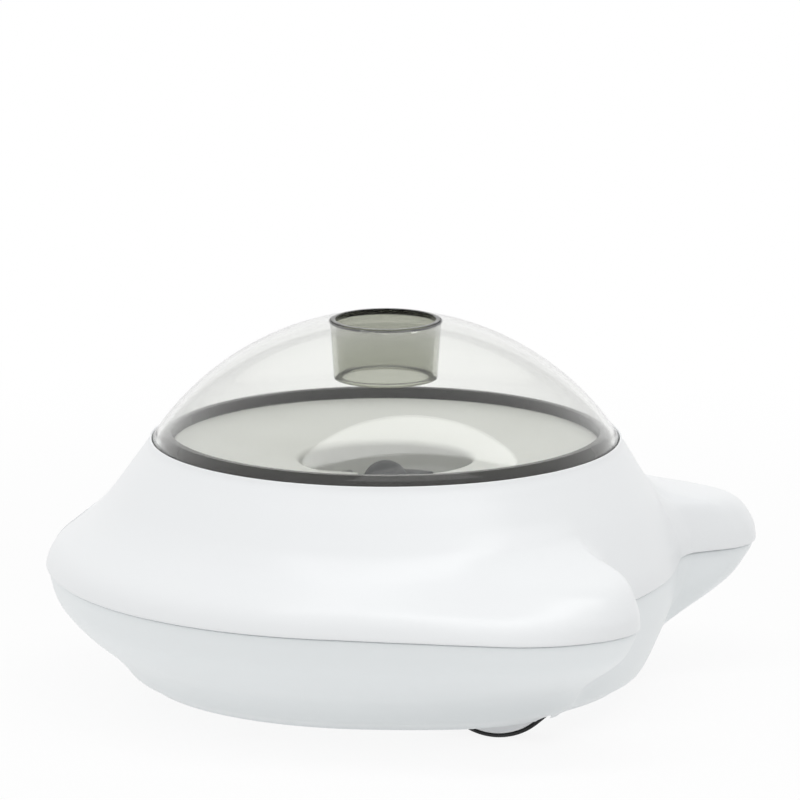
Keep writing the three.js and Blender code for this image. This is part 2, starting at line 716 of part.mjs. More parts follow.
function makeAgitator() {
  const bottomZ = rotorTopZ + gap;
  const crown = Array.from({ length: agitator.steps }, (_, i) => {
    const angle = (i / agitator.steps) * (Math.PI / 2);
    return [agitator.radius * Math.cos(angle), bottomZ + agitator.height * Math.sin(angle)];
  });
  const cone = turned([[0, bottomZ], ...crown, [0, bottomZ + agitator.height]], sides.medium);
  const boreHeights = [bottomZ - overrun, bottomZ + agitator.boreDepth + gap];
  return cone.subtract(rod('z', feedShaft.radius + gap, boreHeights, [0, 0]));
}

function makeDuct() {
  const trimmed = ductOuter.intersect(wholeBody(-duct.proud));
  const bore = block(
    [-duct.innerWidth / 2, duct.innerWidth / 2],
    [-body.seamRadius - overrun * 4, duct.backY - duct.backWall],
    [ductFloorZ, ductCeilingZ],
  );
  const inletHeights = [ductCeilingZ - overrun, ductCeilingZ + duct.wall + overrun];
  const inlet = rod('z', dropHoleRadius, inletHeights, dropPlace, sides.medium);
  const halfSlot = launchWheel.width / 2 + launchWheel.sideClearance;
  const floorRise = ductFloorZ - duct.wall - launchWheel.z;
  const slotReach = Math.sqrt(launchWheel.radius ** 2 - floorRise ** 2) + launchWheel.slotClearance;
  const wheelSlot = block(
    [-halfSlot, halfSlot],
    [launchWheel.y - slotReach, launchWheel.y + slotReach],
    [ductFloorZ - duct.wall - overrun, ductFloorZ + overrun / 2],
  );
  const pinHoleSpan = [-ductOuterHalf - overrun, ductOuterHalf + overrun];
  const pinHole = rod('x', flap.pinRadius + gap, pinHoleSpan, flapPinPlace);
  return without(trimmed, [bore, inlet, wheelSlot, pinHole]);
}

function makeFlap() {
  const half = duct.innerWidth / 2 - flap.sideGap;
  const plate = block([-half, half], [flapPinY - flap.thickness / 2, flapPinY + flap.thickness / 2],
    [ductFloorZ + gap, flapPinZ]);
  const barrel = rod('x', flap.barrelRadius, [-half, half], flapPinPlace);
  const bore = rod('x', flap.pinRadius + gap, [-half - overrun, half + overrun], flapPinPlace);
  return plate.add(barrel).subtract(bore);
}

// A wheel's tyre, hub or roller about X, between two X values
function ringAboutX(outerRadius, innerRadius, span, centre, count = sides.large) {
  const tool = [span[0] - overrun, span[1] + overrun];
  return rod('x', outerRadius, span, centre, count).subtract(rod('x', innerRadius, tool, centre, count));
}

function makeWheelHub(side) {
  const centre = [wheel.y, wheel.radius];
  const recessEndX = wheelInnerX + wheel.backRecess;
  const faceSpan = spanOn(side, wheel.outerX - wheel.faceRecess, wheel.outerX + overrun);
  const discRadius = wheel.radius - wheel.tyreThickness - gap;
  const disc = rod('x', discRadius, spanOn(side, wheelInnerX, wheel.outerX), centre, sides.large);
  const face = rod('x', wheel.faceRecessRadius, faceSpan, centre, sides.large);
  const backSpan = spanOn(side, wheelInnerX - overrun, recessEndX);
  const back = rod('x', wheel.backRecessRadius, backSpan, centre, sides.large);
  const boss = rod('x', wheel.bossRadius, spanOn(side, wheelInnerX, recessEndX + gap), centre);
  const boreSpan = spanOn(side, wheelInnerX - overrun, recessEndX + gap);
  const bore = rod('x', wheel.axleRadius + gap, boreSpan, centre);
  return disc.subtract(face).subtract(back).add(boss).subtract(bore);
}

function makeDriveMotor(side) {
  const centre = [wheel.y, wheel.radius];
  const canEndX = driveMotorEndX - driveMotor.boxLength;
  const gearbox = block(
    spanOn(side, canEndX, driveMotorEndX),
    [wheel.y - driveMotor.boxWidth / 2, wheel.y + driveMotor.boxWidth / 2],
    [wheel.radius - driveMotor.boxHeight / 2, wheel.radius + driveMotor.boxHeight / 2],
  );
  const canSpan = spanOn(side, canEndX - driveMotor.canLength, canEndX + gap);
  const can = rod('x', driveMotor.canRadius, canSpan, centre, sides.medium);
  const boreSpan = spanOn(side, driveMotorEndX - driveMotor.boreDepth, driveMotorEndX + overrun);
  return gearbox.add(can).subtract(rod('x', wheel.axleRadius + gap, boreSpan, centre));
}

function makeClamp(side) {
  const xs = [side * driveSaddleX - clamp.length / 2, side * driveSaddleX + clamp.length / 2];
  const half = driveMotor.canRadius + gap + clamp.wall;
  const footHalf = half + clamp.foot;
  const baseZ = floorZ + gap;
  const tall = block(xs, [wheel.y - half, wheel.y + half], [baseZ, wheel.radius + half]);
  const feet = block(xs, [wheel.y - footHalf, wheel.y + footHalf], [baseZ, baseZ + clamp.wall]);
  const tunnelHalf = driveMotor.canRadius + gap;
  const tunnelX = [xs[0] - overrun, xs[1] + overrun];
  const tunnelY = [wheel.y - tunnelHalf, wheel.y + tunnelHalf];
  const tunnel = block(tunnelX, tunnelY, [baseZ - overrun, wheel.radius])
    .add(rod('x', tunnelHalf, tunnelX, [wheel.y, wheel.radius], sides.medium));
  return tall.add(feet).subtract(tunnel);
}

const casterWheelPlace = [casterY + caster.trail, caster.wheelRadius];
const casterPlateTopZ = caster.cupTopZ - caster.cupTopWall - gap;
const casterArmX = caster.wheelWidth / 2 + caster.armClearance;

function makeCasterCup() {
  const outerRadius = caster.cupRadius + caster.cupWall;
  const flangeZ0 = floorZ + gap;
  return moved(turned([
    [outerRadius, body.bottomZ],
    [outerRadius, flangeZ0],
    [outerRadius + caster.flangeWidth, flangeZ0],
    [outerRadius + caster.flangeWidth, flangeZ0 + caster.flangeThickness],
    [outerRadius, flangeZ0 + caster.flangeThickness],
    [outerRadius, caster.cupTopZ],
    [caster.stemRadius + gap, caster.cupTopZ],
    [caster.stemRadius + gap, caster.cupTopZ - caster.cupTopWall],
    [caster.cupRadius, caster.cupTopZ - caster.cupTopWall],
    [caster.cupRadius, body.bottomZ],
  ]), new THREE.Matrix4().makeTranslation(0, casterY, 0));
}

function makeCasterFork() {
  const plateZ = casterPlateTopZ - caster.plateThickness;
  const place = [0, casterY];
  const plateRadius = caster.cupRadius - caster.plateClearance;
  const plate = rod('z', plateRadius, [plateZ, casterPlateTopZ], place, sides.medium);
  const headZ = caster.cupTopZ + gap;
  const stem = rod('z', caster.stemRadius, [casterPlateTopZ - gap, headZ + gap], place);
  const head = rod('z', caster.stemHeadRadius, [headZ, headZ + caster.stemHeadHeight], place);
  const arms = [-1, 1].map((side) => {
    const x = spanOn(side, casterArmX, casterArmX + caster.armThickness);
    const [wheelY, wheelZ] = casterWheelPlace;
    return block(x, [wheelY - caster.armLength / 2, wheelY + caster.armLength / 2], [wheelZ, plateZ + gap])
      .add(rod('x', caster.armLength / 2, x, casterWheelPlace));
  });
  const hole = rod('x', caster.axleRadius + gap, [-caster.cupRadius, caster.cupRadius], casterWheelPlace);
  return joined([plate, stem, head, ...arms]).subtract(hole);
}

function makeBattery() {
  const half = battery.width / 2 - battery.cellRadius;
  const outline = new THREE.Shape();
  outline.absarc(half, 0, battery.cellRadius, -Math.PI / 2, Math.PI / 2);
  outline.absarc(-half, 0, battery.cellRadius, Math.PI / 2, (3 * Math.PI) / 2);
  const geometry = new THREE.ExtrudeGeometry(outline, {
    depth: battery.yHigh - battery.yLow, bevelEnabled: false, curveSegments: sides.tiny,
  });
  const z = floorZ + gap + battery.cellRadius;
  return toSolid(geometry.rotateX(Math.PI / 2).translate(battery.x, battery.yHigh, z));
}

// A screw about Z with its head below and its shank above
function makeScrew([x, y], headZ, size, topZ) {
  return moved(turned([
    [0, headZ],
    [size.headRadius, headZ],
    [size.headRadius, headZ + size.headHeight],
    [size.radius, headZ + size.headHeight],
    [size.radius, topZ],
    [0, topZ],
  ], sides.small), new THREE.Matrix4().makeTranslation(x, y, 0));
}

// Chips: centre and half width as shares of the board's size, height of its thickness
const chipShares = [
  [0.05, 0.1, 0.12, 0.75],
  [-0.22, -0.2, 0.09, 1],
  [0.25, -0.25, 0.07, 2],
  [-0.2, 0.25, 0.06, 3],
];

function makeBoard() {
  const topZ = board.z + board.thickness;
  const middleX = (board.xLow + board.xHigh) / 2;
  const middleY = (board.yLow + board.yHigh) / 2;
  const width = board.xHigh - board.xLow;
  const length = board.yHigh - board.yLow;
  const plate = block([board.xLow, board.xHigh], [board.yLow, board.yHigh], [board.z, topZ]);
  const chips = chipShares.map(([x, y, half, tall]) => block(
    [middleX + (x - half) * width, middleX + (x + half) * width],
    [middleY + y * length - half * width, middleY + y * length + half * width],
    [topZ - gap, topZ + tall * board.thickness],
  ));
  const holes = boardCorners.map((place) => (
    rod('z', boardScrew.radius + gap, [board.z - overrun, topZ + overrun], place)));
  return without(joined([plate, ...chips]), holes);
}

function makeBoardScrew(place) {
  const headZ = board.z + board.thickness + gap;
  return rod('z', boardScrew.headRadius, [headZ, headZ + boardScrew.headHeight], place)
    .add(rod('z', boardScrew.radius, [headZ - boardScrew.length, headZ + gap], place, sides.tiny));
}

function makeSpeaker() {
  const place = [speaker.x, speaker.y];
  const frontZ = floorZ + gap;
  const backZ = frontZ + speaker.height;
  return rod('z', speaker.radius, [frontZ, backZ], place, sides.medium)
    .add(rod('z', speaker.magnetRadius, [backZ - gap, backZ + speaker.magnetHeight], place, sides.medium));
}

// The charging socket: a sleeve with a closed back and a contact tongue in its mouth
function makeSocket() {
  const backX = socketOuterX + socket.length;
  const [halfY, halfZ] = [socket.width / 2, socket.height / 2];
  const [mouthY, mouthZ] = [halfY - socket.wall, halfZ - socket.wall];
  const sleeve = block([socketOuterX, backX], [-halfY, halfY], [socket.z - halfZ, socket.z + halfZ]);
  const mouth = block(
    [socketOuterX - overrun, backX - socket.backWall],
    [-mouthY, mouthY],
    [socket.z - mouthZ, socket.z + mouthZ],
  );
  const tongue = block(
    [socketOuterX + socket.wall, backX],
    [-halfY / 2, halfY / 2],
    [socket.z - socket.wall / 2, socket.z + socket.wall / 2],
  );
  return sleeve.subtract(mouth).add(tongue);
}

// Casings, dome and hopper
piece('top_shell', makeTopShell(), whitePlastic());
piece('bottom_shell', makeBottomShell(), coolPlastic());
piece('hopper_bowl', makeHopper(), greyPlastic());
piece('dome_seal', makeSeal(), blackRubber());
piece('dome_cover', makeDome(), smokedPlastic());
piece('fill_neck', makeNeck(), smokedPlastic());
const screwHeadZ = counterboreZ - gap - screw.headHeight;
postPlaces.forEach((place, i) => {
  piece(`shell_screw_${i + 1}`, makeScrew(place, screwHeadZ, screw, screwTopZ), steel());
});

// Feed drive
piece('feed_rotor', makeRotor(), darkPlastic());
piece('agitator_cone', makeAgitator(), darkPlastic());
const feedShaftTopZ = rotorTopZ + gap + agitator.boreDepth;
piece('feed_shaft', rod('z', feedShaft.radius, [feedShaft.bottomZ, feedShaftTopZ], [0, 0]), steel());
const feedMotorTopZ = wellUndersideZ - gap;
const feedMotorBore = rod(
  'z',
  feedShaft.radius + gap,
  [feedMotorTopZ - feedMotor.boreDepth, feedMotorTopZ + overrun],
  [0, 0],
);
const feedMotorBlock = block(
  [-feedMotor.side / 2, feedMotor.side / 2],
  [-feedMotor.side / 2, feedMotor.side / 2],
  [feedMotorTopZ - feedMotor.height, feedMotorTopZ],
);
piece('feed_motor', feedMotorBlock.subtract(feedMotorBore), darkPlastic());

// Launch drive, duct and outlet
const launchCentre = [launchWheel.y, launchWheel.z];
const launchSpan = [-launchWheel.width / 2, launchWheel.width / 2];
const launchHubRadius = launchWheel.radius - launchWheel.tyreThickness;
const launchBoreRadius = launchWheel.shaftRadius + gap;
const launchMotorEndX = launchMotor.startX + launchMotor.length;
const launchBoreEndX = launchMotor.startX + launchMotor.boreDepth;
const launchHub = ringAboutX(
  launchHubRadius - gap, launchBoreRadius, launchSpan, launchCentre, sides.medium);
const launchTyre = ringAboutX(
  launchWheel.radius, launchHubRadius, launchSpan, launchCentre, sides.medium);
const launchShaftSpan = [launchSpan[0] - launchShaftOverhang, launchBoreEndX - gap];
const launchCanSpan = [launchMotor.startX, launchMotorEndX];
const launchCan = rod('x', launchMotor.radius, launchCanSpan, launchCentre, sides.medium);
const launchBore = rod('x', launchBoreRadius, [launchMotor.startX - overrun, launchBoreEndX], launchCentre);
const saddleHalf = launchMotor.radius + gap + launchMotor.saddleWall;
const saddleX = [
  launchMotor.startX + (launchMotor.length - launchMotor.saddleLength) / 2,
  launchMotor.startX + (launchMotor.length + launchMotor.saddleLength) / 2,
];
const saddle = block(
  saddleX,
  [launchWheel.y - saddleHalf, launchWheel.y + saddleHalf],
  [floorZ + gap, launchWheel.z],
);
const saddleTool = [saddleX[0] - overrun, saddleX[1] + overrun];
const saddleBore = rod('x', launchMotor.radius + gap, saddleTool, launchCentre, sides.medium);
piece('launch_duct', makeDuct(), darkPlastic());
piece('launch_wheel', launchHub, whitePlastic());
piece('launch_tyre', launchTyre, blackRubber());
piece('launch_shaft', rod('x', launchWheel.shaftRadius, launchShaftSpan, launchCentre), steel());
piece('launch_motor', launchCan.subtract(launchBore), steel());
piece('launch_motor_mount', saddle.subtract(saddleBore), darkPlastic());
piece('outlet_flap', makeFlap(), darkPlastic());
piece('flap_pin', rod('x', flap.pinRadius, [-ductOuterHalf, ductOuterHalf], flapPinPlace), steel());

// Drive wheels, alike on both sides
for (const [prefix, side] of [['left', 1], ['right', -1]]) {
  const centre = [wheel.y, wheel.radius];
  const tyreSpan = spanOn(side, wheelInnerX, wheel.outerX);
  const tyre = ringAboutX(wheel.radius, wheel.radius - wheel.tyreThickness, tyreSpan, centre);
  const axleStartX = driveMotorEndX - driveMotor.boreDepth + gap;
  const axleSpan = spanOn(side, axleStartX, wheelInnerX + wheel.backRecess);
  piece(`${prefix}_wheel_hub`, makeWheelHub(side), whitePlastic());
  piece(`${prefix}_tyre`, tyre, blackRubber());
  piece(`${prefix}_axle`, rod('x', wheel.axleRadius, axleSpan, centre), steel());
  piece(`${prefix}_drive_motor`, makeDriveMotor(side), steel());
  piece(`${prefix}_motor_clamp`, makeClamp(side), darkPlastic());
}

// Front caster
piece('caster_cup', makeCasterCup(), darkPlastic());
piece('caster_fork', makeCasterFork(), darkPlastic());
const casterWheelSpan = [-caster.wheelWidth / 2, caster.wheelWidth / 2];
const casterRoller = ringAboutX(
  caster.wheelRadius, caster.axleRadius + gap, casterWheelSpan, casterWheelPlace);
const casterAxleEndX = casterArmX + caster.armThickness;
const casterAxle = rod('x', caster.axleRadius, [-casterAxleEndX, casterAxleEndX], casterWheelPlace);
piece('caster_wheel', casterRoller, blackRubber());
piece('caster_axle', casterAxle, steel());

// Power and electronics
piece('battery_pack', makeBattery(), batteryBlue());
const doorPlate = block(
  [doorX[0] + gap, doorX[1] - gap],
  [door.yLow + gap, door.yHigh - gap],
  [body.bottomZ, body.bottomZ + door.thickness],
);
const doorHole = rod('z', doorBoss.boreRadius, [body.bottomZ - overrun, floorZ], doorScrewPlace);
const doorScrewHeadZ = body.bottomZ - gap - doorScrew.headHeight;
const doorScrewTopZ = floorZ + doorBoss.height - gap * 2;
piece('battery_door', doorPlate.subtract(doorHole), coolPlastic());
piece('battery_door_screw', makeScrew(doorScrewPlace, doorScrewHeadZ, doorScrew, doorScrewTopZ), steel());
piece('main_board', makeBoard(), boardGreen());
boardCorners.forEach((place, i) => piece(`board_screw_${i + 1}`, makeBoardScrew(place), steel()));
piece('speaker', makeSpeaker(), darkPlastic());
piece('charge_socket', makeSocket(), steel());

// Power button, its board and the status lamp, in the button's own frame
const buttonFlange = [buttonFlangeTop - button.flangeThickness, buttonFlangeTop];
piece('power_button', joined([
  rod('z', button.radius, [buttonFlangeTop - gap, button.proud], [0, 0], sides.medium),
  rod('z', button.flangeRadius, buttonFlange, [0, 0], sides.medium),
  rod('z', button.stemRadius, [buttonBack, buttonFlangeTop - gap], [0, 0]),
]), greyPlastic(), buttonGroup);
const switchHalf = button.switchSide / 2;
piece('button_board', block(
  [-button.boardWidth / 2, button.boardWidth / 2],
  [-button.boardLength / 2, button.boardLength / 2],
  [buttonBoardTop - button.boardThickness, buttonBoardTop],
).add(block([-switchHalf, switchHalf], [-switchHalf, switchHalf],
  [buttonBoardTop - gap, buttonBoardTop + button.switchHeight])), boardGreen(), buttonGroup);
const lampGuide = rod('z', lamp.radius, [-body.wall - gap, lamp.proud], lampPlace);
piece('status_lamp', lampGuide, lampClear(), buttonGroup);

export default launcher;
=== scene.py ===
"""A wheeled pet treat launcher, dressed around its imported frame.

The casing, the clear dome with its dark base ring and smoked fill neck, the hopper bowl, the
feed rotor, the outlet, the wheels and the small fittings are modelled in detail and take the
place of the plain solids. The drive parts inside the closed casing keep their solids and get
materials.
"""

import bisect
import json
import logging
import math
from dataclasses import dataclass, field
from enum import Enum
from itertools import pairwise
from typing import Callable, Sequence

import bmesh
import bpy
from mathutils import Matrix, Vector

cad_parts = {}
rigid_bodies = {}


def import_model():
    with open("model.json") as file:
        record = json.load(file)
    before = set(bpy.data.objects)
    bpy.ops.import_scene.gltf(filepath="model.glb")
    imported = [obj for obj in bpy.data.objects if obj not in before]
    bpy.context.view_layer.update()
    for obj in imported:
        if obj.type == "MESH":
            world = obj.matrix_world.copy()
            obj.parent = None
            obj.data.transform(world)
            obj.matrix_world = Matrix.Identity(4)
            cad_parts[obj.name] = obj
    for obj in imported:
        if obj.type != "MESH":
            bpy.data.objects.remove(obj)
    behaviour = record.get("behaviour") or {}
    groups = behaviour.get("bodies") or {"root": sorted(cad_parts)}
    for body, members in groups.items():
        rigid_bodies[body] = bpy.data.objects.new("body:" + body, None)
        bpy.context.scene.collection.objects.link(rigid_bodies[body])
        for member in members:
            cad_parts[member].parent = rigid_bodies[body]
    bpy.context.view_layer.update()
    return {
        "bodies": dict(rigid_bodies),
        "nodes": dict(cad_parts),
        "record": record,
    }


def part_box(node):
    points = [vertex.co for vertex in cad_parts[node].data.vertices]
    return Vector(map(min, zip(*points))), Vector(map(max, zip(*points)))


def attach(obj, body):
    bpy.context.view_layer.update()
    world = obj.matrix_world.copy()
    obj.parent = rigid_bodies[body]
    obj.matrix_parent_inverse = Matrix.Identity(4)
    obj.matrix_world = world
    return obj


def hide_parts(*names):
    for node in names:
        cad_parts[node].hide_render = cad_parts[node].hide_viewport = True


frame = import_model()

log = logging.getLogger("treat_launcher")

MM = 0.001
NECK_LOW, NECK_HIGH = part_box("fill_neck")
WHITE = (1.0, 1.0, 1.0, 1.0)

# How near points are welded, how far a tool reaches past a face, and the degrees from which
# a fine bevel takes an edge
WELD_REACH = 0.001 * MM
OVERRUN = 1 * MM
SHARP_ONLY = 50.0

Triple = tuple[float, float, float]
Colour = Triple
Point = tuple[float, float]
Spans = tuple[Point, ...]
Corners = tuple[Triple, ...]
Ring = list[Vector]
Solid = bpy.types.Object
Socket = bpy.types.NodeSocket

# Places that several assemblies share: the dome's axis and what lies at a distance from it
AXIS = Vector((0.0, (NECK_LOW.y + NECK_HIGH.y) / 2, 0.0))
WHEEL_CENTRE = Vector((0.0, AXIS.y + 57 * MM, 24 * MM))
CASTER_CENTRE = Vector((0.0, AXIS.y - 70 * MM, 0.0))
HATCH_SCREW_SPOT = (34 * MM, AXIS.y - 29.5 * MM)


class Axis(Enum):
    """A row axis that a turned piece or a rod lies along."""

    X = Vector((1.0, 0.0, 0.0))
    Z = Vector((0.0, 0.0, 1.0))


class Body(Enum):
    """The moving bodies of the launcher that new pieces ride on."""

    CASING = "root"
    DOME = "dome"
    FEEDER = "feeder"
    FLAP = "flap"
    LEFT_WHEEL = "left_wheel"
    RIGHT_WHEEL = "right_wheel"
    CASTER_SWIVEL = "caster_swivel"
    CASTER_ROLLER = "caster_roller"
    POWER_KEY = "power_key"


class Detail(Enum):
    """How many steps a full turn takes."""

    SMALL = 32
    MEDIUM = 64
    LARGE = 128
    HUGE = 256


# Places and spans

def in_mm(*rows: Sequence[float]) -> tuple[tuple[float, ...], ...]:
    """Turns rows of millimetres into metres."""
    return tuple(tuple(value * MM for value in row) for row in rows)


def along_y(span: Point) -> Point:
    """Moves a span along Y from the dome's axis into the row's frame."""
    return AXIS.y + span[0], AXIS.y + span[1]


def sided(side: int, span: Point) -> Point:
    """Gives a span along X as it is for side 1, and mirrored to the right for side -1."""
    low, high = sorted(side * value for value in span)
    return low, high


def quarter(steps: int) -> list[Point]:
    """Gives the sine and cosine of evenly spaced angles of a quarter turn."""
    return [(math.sin(math.pi / 2 * i / steps), math.cos(math.pi / 2 * i / steps)) for i in range(steps + 1)]


# Modelling steps

def deselect_all() -> None:
    """Leaves no object selected, because an operator acts on all that is."""
    bpy.ops.object.select_all(action="DESELECT")


def pick(obj: Solid) -> None:
    """Makes one object the only selected one and the active one."""
    deselect_all()
    obj.select_set(True)
    bpy.context.view_layer.objects.active = obj


def finish_mesh(obj: Solid, name: str) -> Solid:
    """Names a piece and puts its place, turn and scale into its mesh."""
    pick(obj)
    bpy.ops.object.transform_apply(location=True, rotation=True, scale=True)
    obj.name = name
    obj.data.name = name
    return obj


def apply_modifier(obj: Solid, kind: str, **settings: object) -> None:
    """Adds a modifier, sets it and applies it.

    Args:
        obj: The object to change.
        kind: The modifier's type, such as BEVEL.
        settings: Values for the modifier's properties.
    """
    pick(obj)
    modifier = obj.modifiers.new(kind.title(), kind)
    for key, value in settings.items():
        setattr(modifier, key, value)
    bpy.ops.object.modifier_apply(modifier=modifier.name)


def combine(obj: Solid, tool: Solid, operation: str) -> None:
    """Cuts, joins or intersects an object with a tool and deletes the tool.

    Args:
        obj: The object to change.
        tool: The object to use up.
        operation: DIFFERENCE, UNION or INTERSECT.
    """
    apply_modifier(obj, "BOOLEAN", object=tool, operation=operation, solver="EXACT")
    bpy.data.objects.remove(tool, do_unlink=True)


def gathered(parts: Sequence[Solid]) -> Solid:
    """Joins separate closed meshes in one object, so that one step uses them all."""
    pick(parts[0])
    for part in parts:
        part.select_set(True)
    bpy.ops.object.join()
    return parts[0]


def cut(obj: Solid, tools: Sequence[Solid]) -> None:
    """Takes tools that don't touch each other away from an object in one step."""
    combine(obj, gathered(tools), "DIFFERENCE")


def unite(obj: Solid, parts: Sequence[Solid]) -> None:
    """Adds parts that don't touch each other to an object in one step."""
    combine(obj, gathered(parts), "UNION")


def placed(obj: Solid, place: Matrix, name: str) -> Solid:
    """Moves a piece by a matrix, puts the move into its mesh and names it."""
    obj.matrix_world = place @ obj.matrix_world
    return finish_mesh(obj, name)


def copied(obj: Solid, place: Matrix, name: str) -> Solid:
    """Copies a finished piece with its own mesh to another place."""
    twin = obj.copy()
    twin.data = obj.data.copy()
    bpy.context.collection.objects.link(twin)
    return placed(twin, place, name)


def mirrored(obj: Solid, name: str) -> Solid:
    """Copies a finished piece to the other side of the launcher, with its faces outwards."""
    twin = copied(obj, Matrix.Scale(-1.0, 4, Axis.X.value), name)
    pick(twin)
    bpy.ops.object.mode_set(mode="EDIT")
    bpy.ops.mesh.select_all(action="SELECT")
    bpy.ops.mesh.normals_make_consistent(inside=False)
    bpy.ops.object.mode_set(mode="OBJECT")
    return twin


def copies_round(tool: Solid, centre: Vector, axis: Axis, count: int) -> list[Solid]:
    """Copies a tool to evenly spaced turns about an axis and lists it with its copies."""
    there, back = Matrix.Translation(centre), Matrix.Translation(-centre)
    turns = [there @ Matrix.Rotation(math.tau * i / count, 4, axis.name) @ back for i in range(1, count)]
    return [tool, *[copied(tool, turn, "tool") for turn in turns]]


def soften_edges(obj: Solid, width: float, segments: int = 3, degrees: float = 35.0) -> None:
    """Rounds the edges of an object that are sharper than an angle.

    Args:
        obj: The object to change.
        width: The bevel's width in metres.
        segments: Faces across each bevel.
        degrees: Edges that turn less than this stay.
    """
    apply_modifier(obj, "BEVEL", width=width, segments=segments, limit_method="ANGLE",
                   angle_limit=math.radians(degrees), miter_outer="MITER_ARC", harden_normals=False)


def rod(axis: Axis, radius: float, span: Point, centre: Sequence[float], detail: Detail = Detail.MEDIUM
        ) -> Solid:
    """Adds a round bar.

    Args:
        axis: The bar's axis.
        radius: Its radius in metres.
        span: Where it starts and ends along the axis.
        centre: The other two coordinates in X, Y, Z order.
        detail: Steps around it.

    Returns:
        The bar's object.
    """
    deselect_all()
    u, v = centre
    middle = sum(span) / 2
    place, turn = (u, v, middle), (0.0, 0.0, 0.0)
    if axis is Axis.X:
        place, turn = (middle, u, v), axis.value.to_track_quat("Z", "Y").to_euler()
    bpy.ops.mesh.primitive_cylinder_add(
        vertices=detail.value, radius=radius, depth=span[1] - span[0], location=place, rotation=turn)
    return finish_mesh(bpy.context.object, "rod")


def block(x: Point, y: Point, z: Point) -> Solid:
    """Adds a box between three spans and returns its object."""
    deselect_all()
    bpy.ops.mesh.primitive_cube_add(size=1.0, location=[sum(span) / 2 for span in (x, y, z)])
    obj = bpy.context.object
    obj.scale = [span[1] - span[0] for span in (x, y, z)]
    return finish_mesh(obj, "block")


def filleted(corners: Sequence[Triple], steps: int = 4) -> list[Point]:
    """Rounds the corners of a closed outline.

    Args:
        corners: Each corner's two coordinates and its fillet radius.
        steps: Segments in each fillet.

    Returns:
        The outline's points.
    """
    outline: list[Point] = []
    count = len(corners)
    for i, (u, v, radius) in enumerate(corners):
        here = Vector((u, v))
        if radius <= 0:
            outline.append((u, v))
            continue
        before = (Vector(corners[i - 1][:2]) - here).normalized()
        after = (Vector(corners[(i + 1) % count][:2]) - here).normalized()
        half = before.angle(after) / 2
        reach = radius / math.tan(half)
        centre = here + (before + after).normalized() * (radius / math.sin(half))
        start = here + before * reach - centre
        sweep = start.angle_signed(here + after * reach - centre)
        for step in range(steps + 1):
            spoke = start.copy()
            spoke.rotate(Matrix.Rotation(-sweep * step / steps, 2))
            outline.append(tuple(centre + spoke))
    return outline


def turned(name: str, outline: Sequence[Point], axis: Axis, centre: Vector, detail: Detail) -> Solid:
    """Traces a closed outline point by point and spins it round an axis.

    Args:
        name: The piece's name.
        outline: Radius and height of each point, in metres.
        axis: X or Z, the axis that the outline is spun about.
        centre: A point on the axis, from which heights are measured.
        detail: Steps around a full turn.

    Returns:
        The closed turned mesh.
    """
    across = Axis.X.value if axis is Axis.Z else Axis.Z.value
    points = [centre + across * radius + axis.value * height for radius, height in outline]
    deselect_all()
    bpy.ops.mesh.primitive_plane_add(size=MM, location=points[0])
    obj = bpy.context.object
    bpy.ops.object.transform_apply(location=True)
    bpy.ops.object.mode_set(mode="EDIT")
    bpy.ops.mesh.select_mode(type="VERT")
    bpy.ops.mesh.select_all(action="SELECT")
    bpy.ops.mesh.merge(type="CENTER")
    for start, end in pairwise(points):
        bpy.ops.mesh.extrude_vertices_move(TRANSFORM_OT_translate={"value": end - start})
    mesh = bmesh.from_edit_mesh(obj.data)
    mesh.verts.ensure_lookup_table()
    mesh.verts[0].select = True
    mesh.verts[-1].select = True
    mesh.select_flush_mode()
    bmesh.update_edit_mesh(obj.data)
    bpy.ops.mesh.edge_face_add()
    bpy.ops.mesh.select_all(action="SELECT")
    bpy.ops.mesh.spin(steps=detail.value, angle=math.tau, center=centre, axis=axis.value)
    bpy.ops.mesh.select_all(action="SELECT")
    bpy.ops.mesh.remove_doubles(threshold=WELD_REACH)
    bpy.ops.mesh.normals_make_consistent(inside=False)
    bpy.ops.object.mode_set(mode="OBJECT")
    return finish_mesh(obj, name)


def place_ring(obj: Solid, ring: Ring) -> None:
    """Moves the selected loop of vertices onto a ring, matched by their numbers.

    Args:
        obj: The object in edit mode whose newest loop is selected.
        ring: The ring's points.
    """
    mesh = bmesh.from_edit_mesh(obj.data)
    number = mesh.verts.layers.int["number"]
    for vertex in mesh.verts:
        if vertex.select:
            vertex.co = ring[vertex[number]]
    bmesh.update_edit_mesh(obj.data)


def lofted(name: str, rings: Sequence[Ring], closed: bool) -> Solid:
    """Extrudes a loop of edges through rings of equal count.

    Args:
        name: The piece's name.
        rings: The rings in order, each round the dome's axis.
        closed: True to bridge the last ring to the first, False to cap both ends.

    Returns:
        The closed mesh.
    """
    deselect_all()
    bpy.ops.mesh.primitive_circle_add(vertices=len(rings[0]))
    obj = bpy.context.object
    numbers = obj.data.attributes.new("number", "INT", "POINT")
    numbers.data.foreach_set("value", range(len(rings[0])))
    bpy.ops.object.mode_set(mode="EDIT")
    bpy.ops.mesh.select_mode(type="VERT")
    bpy.ops.mesh.select_all(action="SELECT")
    place_ring(obj, rings[0])
    for ring in rings[1:]:
        bpy.ops.mesh.extrude_edges_move(TRANSFORM_OT_translate={"value": (0.0, 0.0, 0.0)})
        place_ring(obj, ring)
    bpy.ops.mesh.select_all(action="DESELECT")
    bpy.ops.mesh.select_non_manifold(extend=False)
    if closed:
        bpy.ops.mesh.bridge_edge_loops()
    else:
        bpy.ops.mesh.edge_face_add()
    bpy.ops.mesh.select_all(action="SELECT")
    bpy.ops.mesh.normals_make_consistent(inside=False)
    bpy.ops.object.mode_set(mode="OBJECT")
    obj.data.attributes.remove(obj.data.attributes["number"])
    return finish_mesh(obj, name)


